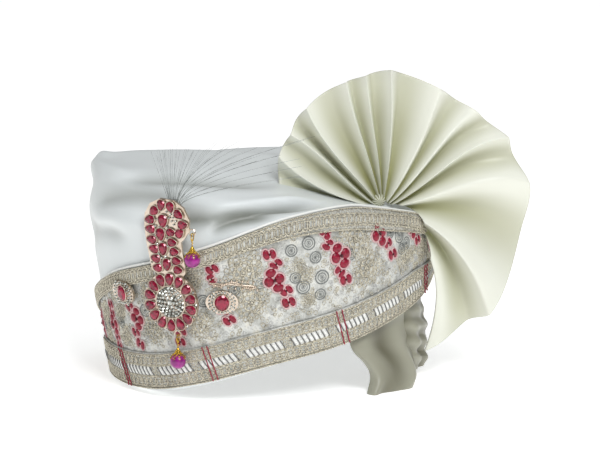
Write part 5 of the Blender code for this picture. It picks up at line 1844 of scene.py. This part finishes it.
class PAGRI_OT_crown(bpy.types.Operator):
    """Builds the wound satin crown"""

    bl_idname = "pagri.crown"
    bl_label = "Crown"

    def execute(self, context):
        build_crown(context.scene.pagri_cloth)
        return {"FINISHED"}


class PAGRI_OT_band(bpy.types.Operator):
    """Builds the band's net and its two lace borders"""

    bl_idname = "pagri.band"
    bl_label = "Band and Borders"

    def execute(self, context):
        band = context.scene.pagri_band
        build_band(band)
        build_upper_border(band)
        build_lower_border(band)
        return {"FINISHED"}


class PAGRI_OT_embroidery(bpy.types.Operator):
    """Builds the red petals, the zari flowers, the grey spirals and the small stitches"""

    bl_idname = "pagri.embroidery"
    bl_label = "Embroidery"

    def execute(self, context):
        band = context.scene.pagri_band
        build_red_petals(band)
        build_zari_flowers(band)
        build_grey_spirals(band)
        build_zari_filling(band)
        return {"FINISHED"}


class PAGRI_OT_fan(bpy.types.Operator):
    """Builds the pleated fan and its knot"""

    bl_idname = "pagri.fan"
    bl_label = "Fan"

    def execute(self, context):
        cloth = context.scene.pagri_cloth
        build_knot(cloth)
        build_fan(cloth)
        return {"FINISHED"}


class PAGRI_OT_tails(bpy.types.Operator):
    """Builds the two short cloth ends"""

    bl_idname = "pagri.tails"
    bl_label = "Cloth Ends"

    def execute(self, context):
        build_tails(context.scene.pagri_cloth)
        return {"FINISHED"}


class PAGRI_OT_brooch(bpy.types.Operator):
    """Builds the brooch's setting, stones and crystals"""

    bl_idname = "pagri.brooch"
    bl_label = "Brooch"

    def execute(self, context):
        build_brooch(context.scene.pagri_jewels)
        return {"FINISHED"}


class PAGRI_OT_drops(bpy.types.Operator):
    """Builds the two hanging beads with their caps and wires"""

    bl_idname = "pagri.drops"
    bl_label = "Bead Drops"

    def execute(self, context):
        build_drops(context.scene.pagri_jewels)
        return {"FINISHED"}


class PAGRI_OT_plume(bpy.types.Operator):
    """Builds the spray of clear filaments"""

    bl_idname = "pagri.plume"
    bl_label = "Plume"

    def execute(self, context):
        build_plume(context.scene.pagri_plume)
        return {"FINISHED"}


STEPS = (
    PAGRI_OT_stage, PAGRI_OT_crown, PAGRI_OT_band, PAGRI_OT_embroidery, PAGRI_OT_fan,
    PAGRI_OT_tails, PAGRI_OT_brooch, PAGRI_OT_drops, PAGRI_OT_plume,
)
SETTINGS = {
    "pagri_cloth": PagriClothSettings,
    "pagri_band": PagriBandSettings,
    "pagri_jewels": PagriJewelSettings,
    "pagri_plume": PagriPlumeSettings,
    "pagri_stage": PagriStageSettings,
}


class VIEW3D_PT_pagri(bpy.types.Panel):
    """Lists the sizes, the colours and the steps that build the turban"""

    bl_label = "Tied Turban Pagri"
    bl_space_type = "VIEW_3D"
    bl_region_type = "UI"
    bl_category = "Pagri"

    def draw(self, context):
        layout = self.layout
        for step in STEPS:
            layout.operator(step.bl_idname, text=step.bl_label)
        for name in SETTINGS:
            group = getattr(context.scene, name)
            box = layout.box()
            box.label(text=name.replace("_", " ").title())
            for key in group.__annotations__:
                box.prop(group, key)


def register():
    for made in (*SETTINGS.values(), *STEPS, VIEW3D_PT_pagri):
        bpy.utils.register_class(made)
    for name, group in SETTINGS.items():
        setattr(bpy.types.Scene, name, PointerProperty(type=group))


def unregister():
    for name in SETTINGS:
        delattr(bpy.types.Scene, name)
    for made in reversed((*SETTINGS.values(), *STEPS, VIEW3D_PT_pagri)):
        bpy.utils.unregister_class(made)


def main():
    register()
    for step in STEPS:
        group, name = step.bl_idname.split(".")
        result = getattr(getattr(bpy.ops, group), name)()
        if result != {"FINISHED"}:
            raise RuntimeError(f"{step.bl_label} didn't finish")


if __name__ == "__main__":
    main()
